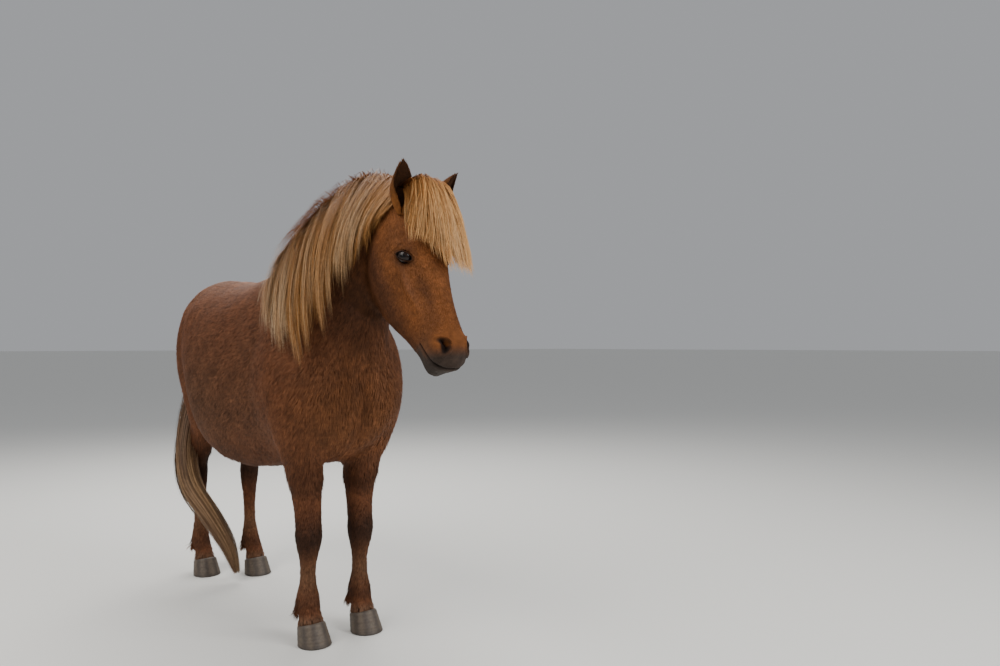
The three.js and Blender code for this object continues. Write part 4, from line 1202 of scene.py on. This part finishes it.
def tail_layer(name, lock_count, per_lock, spread, width, replaced=()):
    lock, n, f = strands(lock_count, per_lock, TAIL_STEPS)
    first = locks(lock_count, 0.6, 6.2)[lock]
    last = np.minimum(9.9, first + tone_of(lock, 3.6, 5.2) * draws.uniform(0.85, 1.05, n))
    t = first[:, None] + (last - first)[:, None] * f
    k = along_keys(TAIL_KEYS, t)
    tangent = unit(along_keys(TAIL_KEYS, t + 0.1)[..., :3] - along_keys(TAIL_KEYS, t - 0.1)[..., :3])
    front = unit(np.cross(tangent, [1.0, 0, 0]))
    side = np.cross(front, tangent)
    angle = (tone_of(lock, 0, 6.28) + draws.normal(0, 0.35, n))[:, None]
    radial = side * np.cos(angle)[..., None] + front * np.sin(angle)[..., None]
    wide = np.where(np.sin(angle) > 0, k[..., 4], k[..., 5])
    far = np.hypot(k[..., 3] * np.cos(angle), wide * np.sin(angle))
    reach = far * np.minimum(1, 0.1 + f * 2.2) * (spread * draws.uniform(0.3, 1.05, n))[:, None]
    wave = tone_of(lock, 0, 6.28)[:, None]
    path = k[..., :3] + radial * reach[..., None]
    path[..., 1] += 8 * np.sin(4 * f + wave) * f
    path[..., 0] += 6 * np.cos(4 * f + wave) * f
    path[..., 2] = np.maximum(path[..., 2], 12)
    taper = taper_of(f, n)
    fair = np.clip(tone_of(lock, -0.2, 1) + draws.normal(0, 0.1, n), 0, 1)[:, None]
    colours = mix(TAIL_DARK, TAIL_BROWN, smooth_step(0.0, 0.4, f))
    colours = uneven(mix(colours, TAIL_LIGHT, fair * smooth_step(4.5, 7.5, t)), 0.15)
    return ribbons(name, place(path), radial, width / 1000 * taper, colours, replaced)


tail_layer("tail_inner", 60, 64, 0.8, 4.2, ["tail"])
tail_layer("tail_outer", 84, 44, 1.05, 3.2)

# %% [markdown]
# ## Hooves
# A hoof is horn that grows down from the coronet, so it has rings across and fine lines down it.
# The CAD's hooves are plain, and each is made again from the same sizes, with more points, ridges
# and a rounded edge at the ground.

# %% Build the hooves
HOOF = {"width": 116.0, "length": 124.0, "height": 78.0, "lean": 28.0, "behind_foot": 8.0}
FEET = {
    "front_right": (-104, -547), "front_left": (104, -547), "hind_right": (-92, 542), "hind_left": (92, 406),
}
HOOF_AROUND, HOOF_LEVELS = 72, 30
SPREAD_BY_LEVEL = [[0, 0.06, 0.5, 0.93, 1], [1, 1.01, 0.93, 0.85, 0.78]]
GROUND_EDGE_MM = 3.0
HORN_DARK, HORN_LIGHT, HORN_GROUND = linear("#4A4038"), linear("#6A5C4C"), linear("#2E2722")

horn = streaked(
    "horn", {"Roughness": 0.55, "IOR": 1.54}, {"Scale": 90.0, "Detail": 4.0, "Roughness": 0.7}, (0.7, 1.25),
    (0.35, 0.001),
)


def hoof(name, x, y):
    levels = np.concatenate([[0.0], np.linspace(0.0, 1, HOOF_LEVELS)])
    around = np.arange(HOOF_AROUND)
    angle = np.linspace(0, 2 * np.pi, HOOF_AROUND, endpoint=False) + 0.01
    c, s = np.cos(angle), np.sin(angle)
    rear = np.maximum(0, s)
    grey = mix(HORN_DARK, HORN_LIGHT, (0.5 + 0.5 * np.sin(angle * 9 + x)) * 0.6)
    rows, tones = [], []
    for i, level in enumerate(levels):
        spread = np.interp(level, *SPREAD_BY_LEVEL)
        ridge = 0.3 * math.sin(level * 46) + 0.3 * math.sin(level * 21 + 1) if i > 1 else 0.0
        grow = ridge - (GROUND_EDGE_MM if i == 0 else 0.0)
        across = (HOOF["width"] / 2 + grow) * spread * np.sign(c) * np.abs(c) ** 0.9 * (1 - 0.12 * rear)
        along = (HOOF["length"] / 2 + grow) * spread * s * (1 - 0.1 * rear)
        rise = HOOF["height"] * level * (1 - 0.34 * (0.5 + 0.5 * s)) if i != 1 else 2.0 + 0 * s
        rows.append(np.stack([x + across, y - HOOF["behind_foot"] + along + HOOF["lean"] * level, rise], 1))
        tones.append(mix(grey, HORN_GROUND, np.full(HOOF_AROUND, (1 - smooth_step(0.0, 0.25, level)) * 0.6)))
    low, top = len(levels) * HOOF_AROUND, (len(levels) - 1) * HOOF_AROUND
    points = np.concatenate(rows + [rows[0].mean(0)[None], rows[-1].mean(0)[None]])
    following = (around + 1) % HOOF_AROUND
    caps = np.concatenate([
        np.stack([np.full(HOOF_AROUND, low), following, around], 1),
        np.stack([np.full(HOOF_AROUND, low + 1), top + around, top + following], 1),
    ])
    tones = np.concatenate(tones + [tones[0][:1], tones[-1][:1]])
    uv = np.concatenate([ring_map(len(levels), HOOF_AROUND), [[0.5, 0], [0.5, 1]]])
    return mesh_piece(f"horn_{name}", place(points), ring_quads(len(levels), HOOF_AROUND), caps, tones, uv,
                      horn, [f"hoof_{name}"])


for name, (x, y) in FEET.items():
    hoof(name, x, y)

# %% [markdown]
# ## Eyes
# A horse's eye is nearly black in the shade, brown where light gets in, with a pupil that lies
# level. The ball is smooth and wet, so it has a clear coat.

# %% Build the eyes
wet_eye, wet_surface = new_material(
    "wet_eye", Roughness=0.15, IOR=1.38, Specular_IOR_Level=0.25, Coat_Weight=0.35, Coat_Roughness=0.03,
)
eye_tone = add_node(wet_eye, "ShaderNodeVertexColor", {"layer_name": "tone"})
wet_eye.node_tree.links.new(eye_tone.outputs["Color"], wet_surface.inputs["Base Color"])
EYE_TURNS, EYE_ROWS = 64, 40
PUPIL, IRIS, EYE_WHITE = linear("#050303"), linear("#22130B"), linear("#120A08")


def eye(side, sign):
    polar = np.linspace(0.02, np.pi - 0.02, EYE_ROWS)[:, None]
    turn = np.linspace(0, 2 * np.pi, EYE_TURNS, endpoint=False)[None, :]
    radius = EYE["radius"] - 0.4 + 0.9 * np.exp(-((polar / 0.6) ** 2))
    ahead = radius * np.cos(polar) + 0 * turn
    level = radius * np.sin(polar) * np.cos(turn)
    upward = radius * np.sin(polar) * np.sin(turn)
    middle, out, along, high = eye_frame(sign)
    uvs = middle + ahead[..., None] * out + level[..., None] * along + upward[..., None] * high
    tones = mix(PUPIL, IRIS, smooth_step(0.8, 1.3, np.hypot(level / 9.5, upward / 5.5).ravel()))
    tones = mix(tones, EYE_WHITE, smooth_step(14, 18.5, np.hypot(level, upward).ravel()))
    fan = np.arange(1, EYE_TURNS - 1)
    first = np.zeros(len(fan), int)
    back = (EYE_ROWS - 1) * EYE_TURNS + np.stack([first, fan, fan + 1], 1)
    caps = np.concatenate([np.stack([first, fan + 1, fan], 1), back])
    quads = ring_quads(EYE_ROWS, EYE_TURNS)[:, ::-1]
    if sign > 0:
        quads, caps = quads[:, ::-1], caps[:, ::-1]
    return mesh_piece(f"eyeball_{side}", from_head(uvs.reshape(-1, 3)), quads, caps, tones,
                      ring_map(EYE_ROWS, EYE_TURNS), wet_eye, [f"eye_{side}"])


eye("right", -1)
eye("left", 1)

# %% [markdown]
# ## Studio
# A plain pale floor and soft light from large lamps, with the sky's evenness from the world colour.

# %% Floor and light
floor_mesh = bpy.data.meshes.new("floor")
HALF_FLOOR = 150
edges = [(x * HALF_FLOOR, y * HALF_FLOOR, 0) for x, y in ((-1, -1), (1, -1), (1, 1), (-1, 1))]
floor_mesh.from_pydata(edges, [], [(0, 1, 2, 3)])
floor = bpy.data.objects.new("floor", floor_mesh)
bpy.context.scene.collection.objects.link(floor)
floor_material, _ = new_material("pale_floor", Base_Color=(*linear("#E6E6E2"), 1), Roughness=0.9)
floor_mesh.materials.append(floor_material)

world = bpy.data.worlds.new("studio")
bpy.context.scene.world = world
world.use_nodes = True
sky = world.node_tree.nodes["Background"].inputs
sky["Color"].default_value = (*linear("#E0E2E6"), 1)
sky["Strength"].default_value = 0.5


def lamp(name, drawn, target, size, power, colour):
    data = bpy.data.lights.new(name, "AREA")
    data.size, data.energy, data.color = size, power, linear(colour)
    light = bpy.data.objects.new(name, data)
    light.location = place(drawn)
    light.rotation_euler = (Vector(place(target)) - light.location).to_track_quat("-Z", "Y").to_euler()
    bpy.context.scene.collection.objects.link(light)


lamp("sky_left", [-3200, -600, 4600], [0, -300, 900], 3.5, 150, "#FFFAF4")
lamp("sky_behind", [1200, 2600, 4400], [0, 0, 1000], 3.5, 200, "#FFFCF8")
lamp("front_left", [1800, -4200, 3600], [0, -900, 1200], 2.5, 125, "#FFFDFA")
